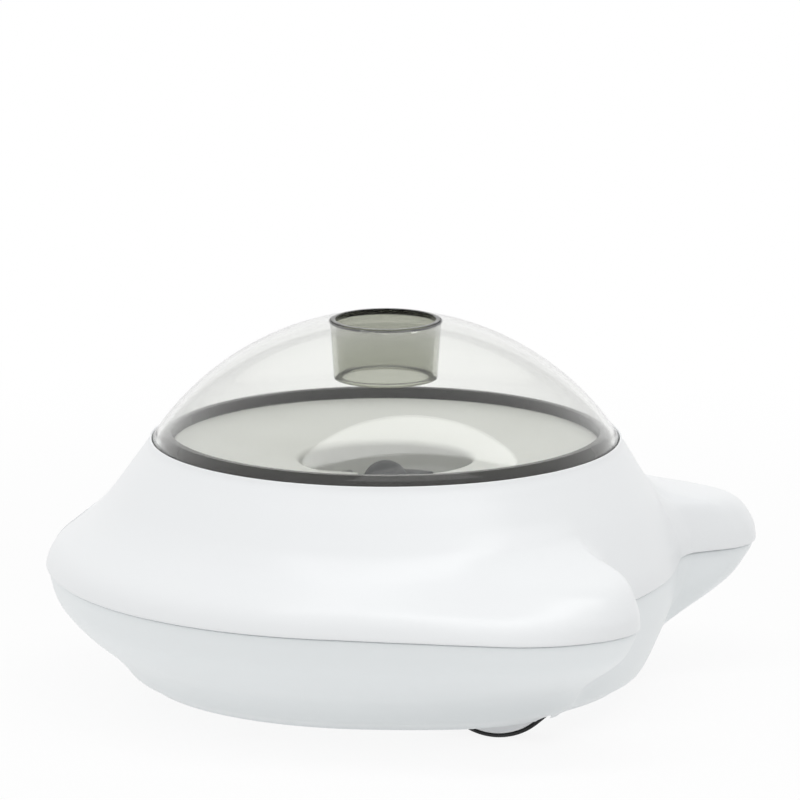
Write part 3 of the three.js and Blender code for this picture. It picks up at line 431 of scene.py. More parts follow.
def prism(name: str, outline: Sequence[Point], span: Point) -> Solid:
    """Extrudes a closed outline along X.

    Args:
        name: The piece's name.
        outline: The Y and Z of each point.
        span: Where the prism starts and ends along X.

    Returns:
        The closed prism.
    """
    return lofted(name, [[Vector((x, y, z)) for y, z in outline] for x in span], closed=False)


# The casing's surface

def smooth_curve(points: Sequence[Point]) -> Callable[[float], float]:
    """Makes a smooth curve through points whose slope never overshoots.

    Args:
        points: Rising places and their values.

    Returns:
        The curve as a function of the place.
    """
    slopes = [(b[1] - a[1]) / (b[0] - a[0]) for a, b in pairwise(points)]
    tangents = [0.0]
    for before, after in pairwise(slopes):
        tangents.append(2 * before * after / (before + after) if before * after > 0 else 0.0)
    tangents.append(0.0)
    places = [x for x, _ in points]

    def curve(x: float) -> float:
        """Reads the curve at one place."""
        i = min(max(bisect.bisect_left(places, x) - 1, 0), len(points) - 2)
        (x0, y0), (x1, y1) = points[i], points[i + 1]
        width = x1 - x0
        t = min(max((x - x0) / width, 0.0), 1.0)
        rise = (3 - 2 * t) * t * t
        enter = t * (1 - t) ** 2 * width * tangents[i]
        leave = t * t * (t - 1) * width * tangents[i + 1]
        return y0 + (y1 - y0) * rise + enter + leave

    return curve


# The seam's radius by the degrees from the rear notch
PLAN_SHARES = (
    (0, 0.861), (8, 0.863), (16, 0.871), (22, 0.883), (27, 0.93), (30, 1.085), (33, 1.148), (37, 1.182),
    (41, 1.192), (46, 1.186), (52, 1.158), (60, 1.09), (70, 1.03), (82, 1), (140, 1), (180, 1.02))

# How far the lobes' own profile holds by the degrees from the rear notch
LOBE_LOWER_REACH = ((0, 0), (23, 0), (30, 1), (50, 1), (78, 0), (180, 0))
LOBE_UPPER_REACH = ((0, 0), (22, 0), (28, 1), (37, 1), (60, 0), (180, 0))

# Side profiles by the share of the way from the seam to the foot or to the rim
LOBE_LOWER_SHARES = (
    (0, 1), (0.15, 0.91), (0.26, 0.82), (0.4, 0.65), (0.55, 0.42), (0.7, 0.21), (0.8, 0.16), (0.9, 0.14),
    (1, 0.12))
LOBE_UPPER_SHARES = (
    (0, 1), (0.1, 0.995), (0.2, 0.97), (0.28, 0.93), (0.34, 0.86), (0.385, 0.72), (0.42, 0.5), (0.47, 0.25),
    (0.56, 0.08), (0.7, 0.02), (1, 0))
CORE_LOWER_SHARES = ((0, 1), (0.15, 0.97), (0.4, 0.84), (0.6, 0.68), (0.78, 0.51), (0.9, 0.34), (1, 0))
CORE_UPPER_SHARES = (
    (0, 1), (0.1, 0.99), (0.25, 0.9), (0.4, 0.776), (0.57, 0.59), (0.75, 0.339), (0.9, 0.12), (1, 0))
FLARE_LOWER_SHARES = (
    (0, 1), (0.15, 0.94), (0.26, 0.87), (0.4, 0.71), (0.55, 0.48), (0.7, 0.18), (0.84, 0.03), (1, 0))
FLARE_UPPER_SHARES = (
    (0, 1), (0.06, 0.97), (0.175, 0.84), (0.3, 0.57), (0.42, 0.33), (0.57, 0.16), (0.8, 0.06), (1, 0))


def off_notch(degrees: float) -> float:
    """Gives how many degrees a direction lies from the rear notch, on either side."""
    return abs((degrees + 180) % 360 - 180)


@dataclass
class CasingSurface:
    """The casing's outer surface: a core of revolution with a flare that has two rear lobes."""

    seam_radius: float = 120.97 * MM
    core_radius: float = 103.3 * MM
    rim_radius: float = 85 * MM
    bottom_radius: float = 86.4 * MM
    bottom_z: float = 7.2 * MM
    seam_z: float = 47.3 * MM
    rim_z: float = 95 * MM
    turn_length: float = 22 * MM
    ring_points: int = 240
    trials: int = 2880

    def __post_init__(self) -> None:
        """Makes the profile curves and chooses the directions of the ring points."""
        self.plan = smooth_curve(PLAN_SHARES)
        self.core_curves = (smooth_curve(CORE_LOWER_SHARES), smooth_curve(CORE_UPPER_SHARES))
        self.flare_curves = (smooth_curve(FLARE_LOWER_SHARES), smooth_curve(FLARE_UPPER_SHARES))
        self.lobe_curves = (smooth_curve(LOBE_LOWER_SHARES), smooth_curve(LOBE_UPPER_SHARES))
        self.reaches = (smooth_curve(LOBE_LOWER_REACH), smooth_curve(LOBE_UPPER_REACH))
        self.directions = self.spread_directions()

    def plan_radius(self, degrees: float) -> float:
        """Gives the seam's radius in a direction from the rear notch."""
        return self.seam_radius * self.plan(off_notch(degrees))

    def lobe_share(self, degrees: float, above: bool) -> float:
        """Gives how far the lobes' own side profile holds in a direction, above or below the seam."""
        return self.reaches[above](off_notch(degrees))

    def radius(self, degrees: float, z: float) -> float:
        """Gives the surface's distance from the dome's axis.

        Args:
            degrees: Direction from the rear notch, towards +X.
            z: Height.

        Returns:
            The distance in metres.
        """
        above = z >= self.seam_z
        height = self.rim_z - self.seam_z if above else self.seam_z - self.bottom_z
        share = abs(z - self.seam_z) / height
        end = self.rim_radius if above else self.bottom_radius
        core = end + (self.core_radius - end) * self.core_curves[above](share)
        side, lobe = self.flare_curves[above](share), self.lobe_curves[above](share)
        flare = side + (lobe - side) * self.lobe_share(degrees, above)
        return core + (self.plan_radius(degrees) - self.core_radius) * flare

    def spot(self, degrees: float, radius: float, z: float) -> Vector:
        """Gives the point at a direction, a distance from the dome's axis and a height."""
        angle = math.radians(degrees)
        return AXIS + Vector((radius * math.sin(angle), radius * math.cos(angle), z))

    def spread_directions(self) -> list[float]:
        """Chooses directions that lie closer together where the seam outline turns.

        Returns:
            The directions in degrees from the rear notch.
        """
        step = 360 / self.trials
        outline = [self.spot(i * step, self.plan_radius(i * step), 0.0) for i in range(self.trials + 2)]
        measures = [0.0]
        for i in range(1, self.trials + 1):
            before, after = outline[i] - outline[i - 1], outline[i + 1] - outline[i]
            measures.append(measures[-1] + before.length + self.turn_length * before.angle(after))
        goals = [measures[-1] * i / self.ring_points for i in range(self.ring_points)]
        return [bisect.bisect_left(measures, goal) * step for goal in goals]

    def ring(self, z: float, inset: float = 0.0) -> Ring:
        """Gives one ring of the surface, set inwards square to its outline.

        Args:
            z: Height of the ring.
            inset: How far inside the surface it lies, also below the flat tops of the lobes.

        Returns:
            The ring's points.
        """
        sink = inset if z >= self.seam_z and inset > MM else 0.0
        heights = [min(z + sink * self.lobe_share(degrees, True), self.rim_z) for degrees in self.directions]
        outline = [self.spot(degrees, self.radius(degrees, height), z)
                   for degrees, height in zip(self.directions, heights)]
        count = len(outline)
        ring = []
        for i, point in enumerate(outline):
            along = (outline[(i + 1) % count] - outline[i - 1]).normalized()
            ring.append(point + Vector((along.y, -along.x, 0.0)) * inset)
        return ring

    def circle(self, radius: float, z: float) -> Ring:
        """Gives a round ring whose points lie in the same directions."""
        return [self.spot(degrees, radius, z) for degrees in self.directions]

    def heights(self, low: float, high: float, count: int) -> list[float]:
        """Gives evenly spaced heights from one to another, both among them."""
        return [low + (high - low) * i / count for i in range(count + 1)]

    def slab(self, inset: float, low: float, high: float, levels: int = 12) -> Solid:
        """Lofts a solid slice of the casing whose side lies at an inset from the surface."""
        return lofted("slab", [self.ring(z, inset) for z in self.heights(low, high, levels)], closed=False)


# Materials

class Nodes:
    """Adds and links nodes in one tree."""

    def __init__(self, tree: bpy.types.NodeTree) -> None:
        """Takes the tree to work in."""
        self.tree = tree

    def add(self, kind: str, **settings: object) -> bpy.types.Node:
        """Adds a node and sets its properties.

        Args:
            kind: The node's type without the ShaderNode prefix.
            settings: Values for its properties.

        Returns:
            The node.
        """
        node = self.tree.nodes.new(f"ShaderNode{kind}" if not kind.startswith("Node") else kind)
        for key, value in settings.items():
            setattr(node, key, value)
        return node

    def join(self, source: object, socket: Socket) -> None:
        """Links an output to a socket, or sets the socket to a plain value."""
        if isinstance(source, Socket):
            self.tree.links.new(source, socket)
        else:
            socket.default_value = source

    def feed(self, node: bpy.types.Node, **sources: object) -> bpy.types.Node:
        """Links or sets a node's inputs by name, with spaces written as underscores.

        Args:
            node: The node whose inputs are set.
            sources: An output socket to link, or a plain value.

        Returns:
            The same node.
        """
        for name, source in sources.items():
            self.join(source, node.inputs[name.replace("_", " ")])
        return node

    def noise(self, vector: Socket, scale: object, detail: float) -> Socket:
        """Adds a noise texture and returns its grey output."""
        node = self.feed(self.add("TexNoise"), Vector=vector, Scale=scale, Detail=detail, Roughness=0.55)
        return node.outputs["Fac"]

    def ramp(self, source: Socket, low: object, high: object, to_low: object, to_high: object
             ) -> Socket:
        """Maps a value from one range to another, smoothly and clamped."""
        node = self.add("MapRange", interpolation_type="SMOOTHSTEP")
        self.feed(node, Value=source, From_Min=low, From_Max=high, To_Min=to_low, To_Max=to_high)
        return node.outputs["Result"]

    def maths(self, operation: str, a: object, b: object) -> Socket:
        """Adds a Math node of two values."""
        node = self.add("Math", operation=operation)
        for socket, source in zip(node.inputs, (a, b)):
            self.join(source, socket)
        return node.outputs[0]

    def blend(self, factor: object, low: object, high: object) -> Socket:
        """Mixes two colours by a factor."""
        node = self.add("Mix", data_type="RGBA")
        for index, source in ((0, factor), (6, low), (7, high)):
            self.join(source, node.inputs[index])
        return node.outputs[2]

    def mixed(self, factor: object, low: object, high: object) -> Socket:
        """Mixes two shaders by a factor."""
        node = self.add("MixShader")
        for socket, source in zip(node.inputs, (factor, low, high)):
            self.join(source, socket)
        return node.outputs[0]


def new_group(name: str, inputs: dict[str, float | None], outputs: Sequence[str]) -> tuple[Nodes, dict, dict]:
    """Makes an empty node group with named sockets.

    Args:
        name: The group's name.
        inputs: Each input's default value, or None for a vector.
        outputs: Names of the outputs, each a plain value.

    Returns:
        The group's nodes, its input sockets by name and its output node's sockets by name.
    """
    tree = bpy.data.node_groups.new(name, "ShaderNodeTree")
    for label, value in inputs.items():
        kind = "NodeSocketVector" if value is None else "NodeSocketFloat"
        socket = tree.interface.new_socket(name=label, in_out="INPUT", socket_type=kind)
        if value is not None:
            socket.default_value = value
    for label in outputs:
        tree.interface.new_socket(name=label, in_out="OUTPUT", socket_type="NodeSocketFloat")
    nodes = Nodes(tree)
    entry, leave = nodes.add("NodeGroupInput"), nodes.add("NodeGroupOutput")
    return nodes, {s.name: s for s in entry.outputs if s.name}, {s.name: s for s in leave.inputs if s.name}


def moulding_grain() -> bpy.types.NodeTree:
    """Makes the grain of a moulded surface: a fine texture on slow waves, and a slow drift.

    Returns:
        The group, with outputs Height and Drift.
    """
    nodes, entry, leave = new_group(
        "moulding_grain", {"Vector": None, "Fineness": 900.0, "Waviness": 0.4}, ("Height", "Drift"))
    fine = nodes.noise(entry["Vector"], entry["Fineness"], detail=2.0)
    slow = nodes.noise(entry["Vector"], scale=26.0, detail=2.0)
    waves = nodes.maths("MULTIPLY", slow, entry["Waviness"])
    nodes.join(nodes.maths("ADD", fine, waves), leave["Height"])
    nodes.join(nodes.noise(entry["Vector"], scale=14.0, detail=4.0), leave["Drift"])
    return nodes.tree


def handling_marks() -> bpy.types.NodeTree:
    """Makes the faint dull patches that hands leave on a polished surface.

    Returns:
        The group, with the output Roughness.
    """
    nodes, entry, leave = new_group(
        "handling_marks", {"Vector": None, "Polished": 0.2, "Dulled": 0.3}, ("Roughness",))
    patches = nodes.noise(entry["Vector"], scale=38.0, detail=1.5)
    result = nodes.ramp(patches, low=0.3, high=0.75, to_low=entry["Polished"], to_high=entry["Dulled"])
    nodes.join(result, leave["Roughness"])
    return nodes.tree


def settled_dust() -> bpy.types.NodeTree:
    """Makes the film of dust that settles on faces that look up.

    Returns:
        The group, with the output Mask.
    """
    nodes, entry, leave = new_group("settled_dust", {"Vector": None, "Amount": 0.1}, ("Mask",))
    upward = nodes.add("SeparateXYZ")
    nodes.join(nodes.add("NewGeometry").outputs["Normal"], upward.inputs[0])
    facing = nodes.ramp(upward.outputs["Z"], low=0.55, high=1.0, to_low=0.0, to_high=1.0)
    grit = nodes.noise(entry["Vector"], scale=1500.0, detail=4.0)
    specks = nodes.ramp(grit, low=0.5, high=0.75, to_low=0.2, to_high=1.0)
    film = nodes.maths("MULTIPLY", facing, specks)
    nodes.join(nodes.maths("MULTIPLY", film, entry["Amount"]), leave["Mask"])
    return nodes.tree


@dataclass(frozen=True)
class EffectGroups:
    """The shader groups that the finishes share."""

    grain: bpy.types.NodeTree
    marks: bpy.types.NodeTree
    dust: bpy.types.NodeTree


EFFECTS = EffectGroups(moulding_grain(), handling_marks(), settled_dust())


class Workpiece:
    """A material in the making: its Principled shader and the effects placed round it."""

    def __init__(self, name: str) -> None:
        """Makes an empty material with a Principled shader.

        Args:
            name: The material's name.
        """
        self.material = bpy.data.materials.new(name)
        self.material.use_nodes = True
        self.nodes = Nodes(self.material.node_tree)
        self.shader = self.material.node_tree.nodes["Principled BSDF"]
        self.output = self.material.node_tree.nodes["Material Output"]
        self.place = self.nodes.add("TexCoord").outputs["Object"]

    def effect(self, group: bpy.types.NodeTree, **values: object) -> bpy.types.Node:
        """Places a shared effect and sets its inputs."""
        node = self.nodes.add("Group", node_tree=group)
        return self.nodes.feed(node, Vector=self.place, **values)

    def bump(self, height: Socket, distance: float) -> None:
        """Feeds a height into the shader's normal."""
        node = self.nodes.add("Bump")
        self.nodes.feed(node, Height=height, Distance=distance, Strength=1.0)
        self.nodes.feed(self.shader, Normal=node.outputs["Normal"])


def shaded(colour: Colour, factor: float) -> tuple[float, float, float, float]:
    """Gives a colour times a factor, with full alpha."""
    return (*(min(channel * factor, 1.0) for channel in colour), 1.0)


DUST = (0.62, 0.6, 0.57)


@dataclass(frozen=True)
class MouldedFinish:
    """Moulded plastic or rubber: grain, a slow drift of colour, dull patches and a little dust."""

    name: str
    slot: str
    colour: Colour
    polished: float
    dulled: float
    fineness: float = 900.0
    waviness: float = 0.4
    relief: float = 0.02 * MM
    drift: float = 0.02
    dust: float = 0.03
    coat: float = 0.0
    coat_roughness: float = 0.06
    specular: float = 0.5

    def build(self) -> bpy.types.Material:
        """Builds the material."""
        work = Workpiece(self.name)
        nodes = work.nodes
        grain = work.effect(EFFECTS.grain, Fineness=self.fineness, Waviness=self.waviness)
        marks = work.effect(EFFECTS.marks, Polished=self.polished, Dulled=self.dulled)
        dust = work.effect(EFFECTS.dust, Amount=self.dust)
        dark, light = shaded(self.colour, 1 - self.drift), shaded(self.colour, 1 + self.drift)
        base = nodes.blend(grain.outputs["Drift"], dark, light)
        dusty = nodes.blend(dust.outputs["Mask"], base, shaded(DUST, 1.0))
        nodes.feed(work.shader, Base_Color=dusty, Roughness=marks.outputs["Roughness"], Metallic=0.0,
                   Coat_Weight=self.coat, Coat_Roughness=self.coat_roughness,
                   Specular_IOR_Level=self.specular)
        work.bump(grain.outputs["Height"], self.relief)
        return work.material


@dataclass(frozen=True)
class ClearFinish:
    """Clear or smoked plastic that lamps shine through."""

    name: str
    slot: str
    tint: Colour
    roughness: float = 0.02
    index: float = 1.5
    shadow: Colour = (0.85, 0.86, 0.84)
    fineness: float = 60.0
    waviness: float = 2.0
    drift: float = 0.01
    relief: float = 0.004 * MM

    def build(self) -> bpy.types.Material:
        """Builds the material."""
        work = Workpiece(self.name)
        nodes = work.nodes
        grain = work.effect(EFFECTS.grain, Fineness=self.fineness, Waviness=self.waviness)
        marks = work.effect(EFFECTS.marks, Polished=self.roughness, Dulled=self.roughness * 2)
        dark, light = shaded(self.tint, 1 - self.drift), shaded(self.tint, 1 + self.drift)
        tint = nodes.blend(grain.outputs["Drift"], dark, light)
        nodes.feed(work.shader, Base_Color=tint, Roughness=marks.outputs["Roughness"], Metallic=0.0,
                   Transmission_Weight=1.0, IOR=self.index)
        work.bump(grain.outputs["Height"], self.relief)
        clear = nodes.feed(nodes.add("BsdfTransparent"), Color=shaded(self.shadow, 1.0))
        lamp_ray = nodes.add("LightPath").outputs["Is Shadow Ray"]
        surface = nodes.mixed(lamp_ray, work.shader.outputs[0], clear.outputs[0])
        nodes.join(surface, work.output.inputs["Surface"])
        return work.material


@dataclass(frozen=True)
class MetalFinish:
    """Plated or brushed steel with fine lines along one axis."""

    name: str
    slot: str
    colour: Colour
    polished: float
    dulled: float
    lines: Triple = (1.0, 1.0, 0.06)
    fineness: float = 2600.0
    wear: Point = (0.9, 1.08)
    relief: float = 0.004 * MM

    def build(self) -> bpy.types.Material:
        """Builds the material."""
        work = Workpiece(self.name)
        nodes = work.nodes
        mapping = nodes.add("Mapping")
        nodes.feed(mapping, Vector=work.place, Scale=self.lines)
        streaks = nodes.noise(mapping.outputs["Vector"], self.fineness, detail=3.0)
        marks = work.effect(EFFECTS.marks, Polished=self.polished, Dulled=self.dulled)
        worn = nodes.blend(streaks, *(shaded(self.colour, factor) for factor in self.wear))
        nodes.feed(work.shader, Base_Color=worn, Roughness=marks.outputs["Roughness"], Metallic=1.0)
        work.bump(streaks, self.relief)
        return work.material


@dataclass(frozen=True)
class BoardFinish:
    """Solder mask over copper tracks."""

    name: str
    slot: str
    colour: Colour
    track: Colour
    cell_scale: float = 260.0
    track_edge: Point = (0.04, 0.07)
    polished: float = 0.25
    dulled: float = 0.45
    relief: float = 0.03 * MM

    def build(self) -> bpy.types.Material:
        """Builds the material."""
        work = Workpiece(self.name)
        nodes = work.nodes
        cells = nodes.feed(nodes.add("TexVoronoi", distance="MANHATTAN", feature="DISTANCE_TO_EDGE"),
                           Vector=work.place, Scale=self.cell_scale)
        tracks = nodes.ramp(cells.outputs["Distance"], *self.track_edge, to_low=1.0, to_high=0.0)
        marks = work.effect(EFFECTS.marks, Polished=self.polished, Dulled=self.dulled)
        mask = nodes.blend(tracks, shaded(self.colour, 1.0), shaded(self.track, 1.0))
        nodes.feed(work.shader, Base_Color=mask, Roughness=marks.outputs["Roughness"])
        work.bump(tracks, self.relief)
        return work.material


class Finish(Enum):
    """Every finish on the launcher; the first of a slot also dresses that slot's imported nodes."""

    SHELL = MouldedFinish(
        "shell_white", "shell_white", (0.86, 0.875, 0.885), polished=0.29, dulled=0.33, waviness=0.0,
        relief=0.002 * MM, drift=0.006, dust=0.01, coat=0.05, specular=0.4)
    LOWER = MouldedFinish(
        "shell_lower", "shell_lower", (0.84, 0.87, 0.88), polished=0.32, dulled=0.36, waviness=0.0,
        relief=0.002 * MM, drift=0.006, dust=0.0, specular=0.4)
    BEZEL = MouldedFinish(
        "bezel_white", "shell_white", (0.84, 0.855, 0.865), polished=0.24, dulled=0.32, waviness=0.12,
        relief=0.003 * MM, drift=0.006, dust=0.01, coat=0.1)
    BOWL = MouldedFinish(
        "bowl_grey", "bowl_grey", (0.57, 0.575, 0.55), polished=0.32, dulled=0.45, fineness=1100.0,
        waviness=0.3, relief=0.01 * MM, dust=0.04)
    DOME = ClearFinish("dome_smoked", "dome_smoked", (0.965, 0.97, 0.955), index=1.43)
    NECK = ClearFinish("neck_smoked", "neck_smoked", (0.5, 0.51, 0.44), index=1.45, shadow=(0.45, 0.45, 0.4))
    RING = MouldedFinish(
        "ring_smoked", "dome_smoked", (0.014, 0.013, 0.011), polished=0.08, dulled=0.14, fineness=500.0,
        waviness=0.0, relief=0.002 * MM, drift=0.1, dust=0.0, specular=0.05)
    MECHANISM = MouldedFinish(
        "mechanism_dark", "mechanism_dark", (0.02, 0.022, 0.025), polished=0.42, dulled=0.6, fineness=1300.0,
        waviness=0.3, relief=0.03 * MM, drift=0.08, dust=0.06)
    RUBBER = MouldedFinish(
        "rubber_black", "rubber_black", (0.012, 0.012, 0.013), polished=0.62, dulled=0.85, fineness=1600.0,
        waviness=0.5, relief=0.05 * MM, drift=0.15, dust=0.12)
    STEEL = MetalFinish("plated_steel", "steel", (0.62, 0.63, 0.64), polished=0.25, dulled=0.42)
    HUB = MouldedFinish(
        "hub_white", "hub_white", (0.9, 0.91, 0.92), polished=0.25, dulled=0.38, relief=0.01 * MM, dust=0.04)
    BOARD = BoardFinish("circuit_green", "circuit_green", (0.012, 0.09, 0.045), track=(0.03, 0.2, 0.09))
    WRAP = MouldedFinish(
        "battery_wrap", "battery_wrap", (0.02, 0.09, 0.32), polished=0.2, dulled=0.35, fineness=400.0,
        waviness=1.2, relief=0.03 * MM, drift=0.06, dust=0.05)
    KEY = MouldedFinish(
        "button_grey", "button_grey", (0.32, 0.34, 0.35), polished=0.36, dulled=0.5, fineness=1200.0,
        waviness=0.3, drift=0.03, dust=0.02)
    LAMP = ClearFinish("lamp_clear", "lamp_clear", (0.85, 0.94, 1.0), roughness=0.2)


class Wardrobe:
    """Builds each finish once and puts it on pieces."""

    def __init__(self) -> None:
        """Builds every material."""
        self.materials = {finish: finish.value.build() for finish in Finish}
        self.by_slot = {finish.value.slot: material for finish, material in reversed(self.materials.items())}

    def dress(self, obj: Solid, finish: Finish) -> None:
        """Puts one finish on a piece."""
        obj.data.materials.clear()
        obj.data.materials.append(self.materials[finish])

    def dress_frame(self) -> int:
        """Puts each slot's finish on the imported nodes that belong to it.

        Returns:
            How many nodes were dressed.
        """
        for entry in frame["record"]["subparts"]:
            obj = frame["nodes"][entry["node"]]
            obj.data.materials.clear()
            obj.data.materials.append(self.by_slot[entry["material_slot"]])
        return len(frame["record"]["subparts"])


WARDROBE = Wardrobe()


def hand_over(obj: Solid, body: Body, finish: Finish, *nodes: str, sharp_above: float = 32.0) -> None:
    """Shades and dresses a finished piece, lets it ride on its body and takes its solids' place.

    Args:
        obj: The piece.
        body: The body that it moves with.
        finish: Its finish.
        nodes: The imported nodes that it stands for.
        sharp_above: Edges that turn more degrees than this stay sharp.
    """
    pick(obj)
    bpy.ops.object.shade_smooth_by_angle(angle=math.radians(sharp_above))
    WARDROBE.dress(obj, finish)
    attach(obj, body.value)
    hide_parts(*nodes)
    log.info("%s: %d faces, rides on %s", obj.name, len(obj.data.polygons), body.value)


# Casing

@dataclass
class Posts:
    """The six screw posts round the casing."""

    surface: CasingSurface
    pitch_radius: float = 81.1 * MM
    degrees: tuple[int, ...] = (18, 110, 150, -18, -110, -150)
    radius: float = 4.5 * MM
    bore_radius: float = 1.8 * MM
    counterbore_radius: float = 3.2 * MM
    counterbore_z: float = 15.9 * MM
    lower_bore_top_z: float = 49 * MM
    upper_bore_top_z: float = 57.6 * MM

    def places(self) -> list[Point]:
        """Gives each post's X and Y."""
        spots = [self.surface.spot(degrees, self.pitch_radius, 0.0) for degrees in self.degrees]
        return [(spot.x, spot.y) for spot in spots]

    def rods(self, radius: float, span: Point) -> list[Solid]:
        """Adds a round bar at each post."""
        return [rod(Axis.Z, radius, span, place, Detail.SMALL) for place in self.places()]

    def wells(self, under: float) -> list[Solid]:
        """Makes the tools for the lower shell's bores, each with its counterbore."""
        wells = self.rods(self.counterbore_radius, (under, self.counterbore_z))
        for well, bore in zip(wells, self.rods(self.bore_radius, (under, self.lower_bore_top_z))):
            combine(well, bore, "UNION")
        return wells


@dataclass
class KeyPlace:
    """The tilted frame of the power key and its lamp on the right side."""

    surface: CasingSurface
    direction: float = -90
    z: float = 74 * MM
    probe: float = 3 * MM
    bore_radius: float = 6.3 * MM
    bore_reach: float = 6 * MM
    lamp_bore_radius: float = 2.1 * MM
    lamp_x: float = -11.5 * MM
    matrix: Matrix = field(init=False)

    def __post_init__(self) -> None:
        """Finds the frame whose Z points out of the casing."""
        low, high = (self.surface.radius(self.direction, self.z + side * self.probe) for side in (-1, 1))
        slope = math.atan2(low - high, 2 * self.probe)
        spot = self.surface.spot(self.direction, self.surface.radius(self.direction, self.z), self.z)
        self.matrix = Matrix.Translation(spot) @ Matrix.Rotation(slope - math.pi / 2, 4, "Y")

    def bores(self) -> list[Solid]:
        """Makes the tools for the key's bore and the lamp's."""
        span = (-self.bore_reach, self.bore_reach)
        key = rod(Axis.Z, self.bore_radius, span, (0.0, 0.0))
        lamp = rod(Axis.Z, self.lamp_bore_radius, span, (self.lamp_x, 0.0), Detail.SMALL)
        return [placed(tool, self.matrix, "tool") for tool in (key, lamp)]


@dataclass
class Casing:
    """The two shells: the upper one overhangs the lower one at the parting line."""

    surface: CasingSurface
    posts: Posts
    key: KeyPlace
    wall: float = 2.6 * MM
    half_gap: float = 0.2 * MM
    lip: float = 0.6 * MM
    step: float = 1.2 * MM
    step_height: float = 12.03 * MM
    rim_edge: float = 0.42 * MM
    recess_radius: float = 84.1 * MM
    recess_loop: float = 3 * MM
    shelf_z: float = 88.5 * MM
    shelf_thickness: float = 2.2 * MM
    shelf_inner_radius: float = 76.5 * MM
    foot_edge: float = 0.7 * MM
    duct_half: float = 12.3 * MM
    duct_y: Point = (-140 * MM, -80 * MM)
    duct_z: Point = (48.7 * MM, 64.0 * MM)
    outer_levels: int = 44
    inner_levels: int = 16
    edge_steps: int = 4

    # Inside the lower shell
    sink: float = 0.3 * MM
    envelope_levels: int = 20
    envelope_rise: float = 0.1 * MM
    envelope_top_z: float = 56 * MM
    drum_radius: float = 26.9 * MM
    drum_x: Point = (40.5 * MM, 56.3 * MM)
    standoff_radius: float = 3 * MM
    standoff_top_z: float = 17.2 * MM
    standoff_x: Point = (-62 * MM, -20 * MM)
    standoff_y: Point = (-30 * MM, 24 * MM)
    saddle_x: Point = (16.45 * MM, 25.45 * MM)
    saddle_y: Point = (54.25 * MM, 59.75 * MM)
    saddle_top_z: float = 18.2 * MM
    hatch_post_radius: float = 3.5 * MM
    hatch_post_height: float = 7 * MM

    # Openings of the lower shell
    floor_overrun: float = 2 * MM
    wheel_space_radius: float = 25.3 * MM
    wheel_space_x: Point = (42.1 * MM, 54.7 * MM)
    axle_bore_radius: float = 3.3 * MM
    axle_bore_x: Point = (38.5 * MM, 42.5 * MM)
    speaker_place: Point = (-30 * MM, -53 * MM)
    speaker_hole_radius: float = 1 * MM
    speaker_hole_pitch: float = 5 * MM
    speaker_holes_round: int = 6
    caster_hole_radius: float = 14.1 * MM
    hatch_seat: Spans = in_mm((17, 51), (-35, 24))
    hatch_seat_top_z: float = 8.8 * MM
    hatch_mouth: Spans = in_mm((19, 49), (-24, 22))
    hatch_bore_radius: float = 1.3 * MM
    hatch_bore_depth: float = 6.7 * MM
    port_hole: Spans = in_mm((-118, -100), (-4.8, 4.8), (28.05, 31.95))
    port_hole_edge: float = 1.4 * MM

    def build(self) -> None:
        """Builds both shells and hands them over."""
        hand_over(self.make_upper(), Body.CASING, Finish.SHELL, "top_shell", sharp_above=30.0)
        hand_over(self.make_lower(), Body.CASING, Finish.LOWER, "bottom_shell", sharp_above=30.0)

    def make_upper(self) -> Solid:
        """Lofts the upper shell as one closed wall and cuts its openings.

        Returns:
            The upper shell.
        """
        face, edge, curve = self.surface, self.rim_edge, quarter(self.edge_steps)
        bottom, top = face.seam_z + self.half_gap, face.rim_z
        shelf_bottom = self.shelf_z - self.shelf_thickness
        rings = [face.ring(z, self.wall) for z in face.heights(shelf_bottom, bottom, self.inner_levels)]
        rings += [face.ring(bottom + self.lip * (1 - c), self.lip * (1 - s)) for s, c in curve]
        rings += [face.ring(z) for z in face.heights(bottom + self.lip, top - edge, self.outer_levels)[1:]]
        rings += [face.ring(top - edge * (1 - s), edge * (1 - c)) for s, c in curve[1:]]
        rings += [face.circle(self.recess_radius + edge * (1 - s), top - edge * (1 - c)) for s, c in curve]
        rings += [face.circle(self.recess_radius, z) for z in (self.shelf_z + self.recess_loop, self.shelf_z)]
        rings += [face.circle(self.shelf_inner_radius, z) for z in (self.shelf_z, shelf_bottom)]
        shell = lofted("casing_upper", rings, closed=True)
        unite(shell, self.posts.rods(self.posts.radius, (bottom, shelf_bottom + self.shelf_thickness / 2)))
        bores = self.posts.rods(self.posts.bore_radius, (bottom - OVERRUN, self.posts.upper_bore_top_z))
        duct = block((-self.duct_half, self.duct_half), along_y(self.duct_y), self.duct_z)
        cut(shell, [*bores, duct, *self.key.bores()])
        return shell

    def inset(self, z: float) -> float:
        """Gives how far the lower shell steps in from the surface at a height."""
        return self.step * max(0.0, 1 - (self.surface.seam_z - z) / self.step_height)

    def make_lower(self) -> Solid:
        """Lofts the lower shell from its floor to its foot and adds its fenders and openings.

        Returns:
            The lower shell.
        """
        face, lip, curve = self.surface, self.lip, quarter(self.edge_steps)
        top, floor = face.seam_z - self.half_gap, face.bottom_z + self.wall
        levels = face.heights(floor, top - lip / 2, self.inner_levels)
        rings = [face.ring(z, self.wall + self.inset(z)) for z in levels]
        rings.append(face.ring(top, self.wall - lip / 2 + self.inset(top)))
        rings += [face.ring(top - lip * (1 - c), self.inset(top) + lip * (1 - s)) for s, c in curve]
        levels = face.heights(top - lip, face.bottom_z + self.foot_edge, self.outer_levels)[1:]
        rings += [face.ring(z, self.inset(z)) for z in levels]
        rings += [face.ring(face.bottom_z + self.foot_edge * (1 - s), self.foot_edge * (1 - c))
                  for s, c in curve[1:]]
        shell = lofted("casing_lower", rings, closed=False)
        unite(shell, self.make_inner_works(top, floor))
        cut(shell, self.make_lower_openings(floor))
        return shell

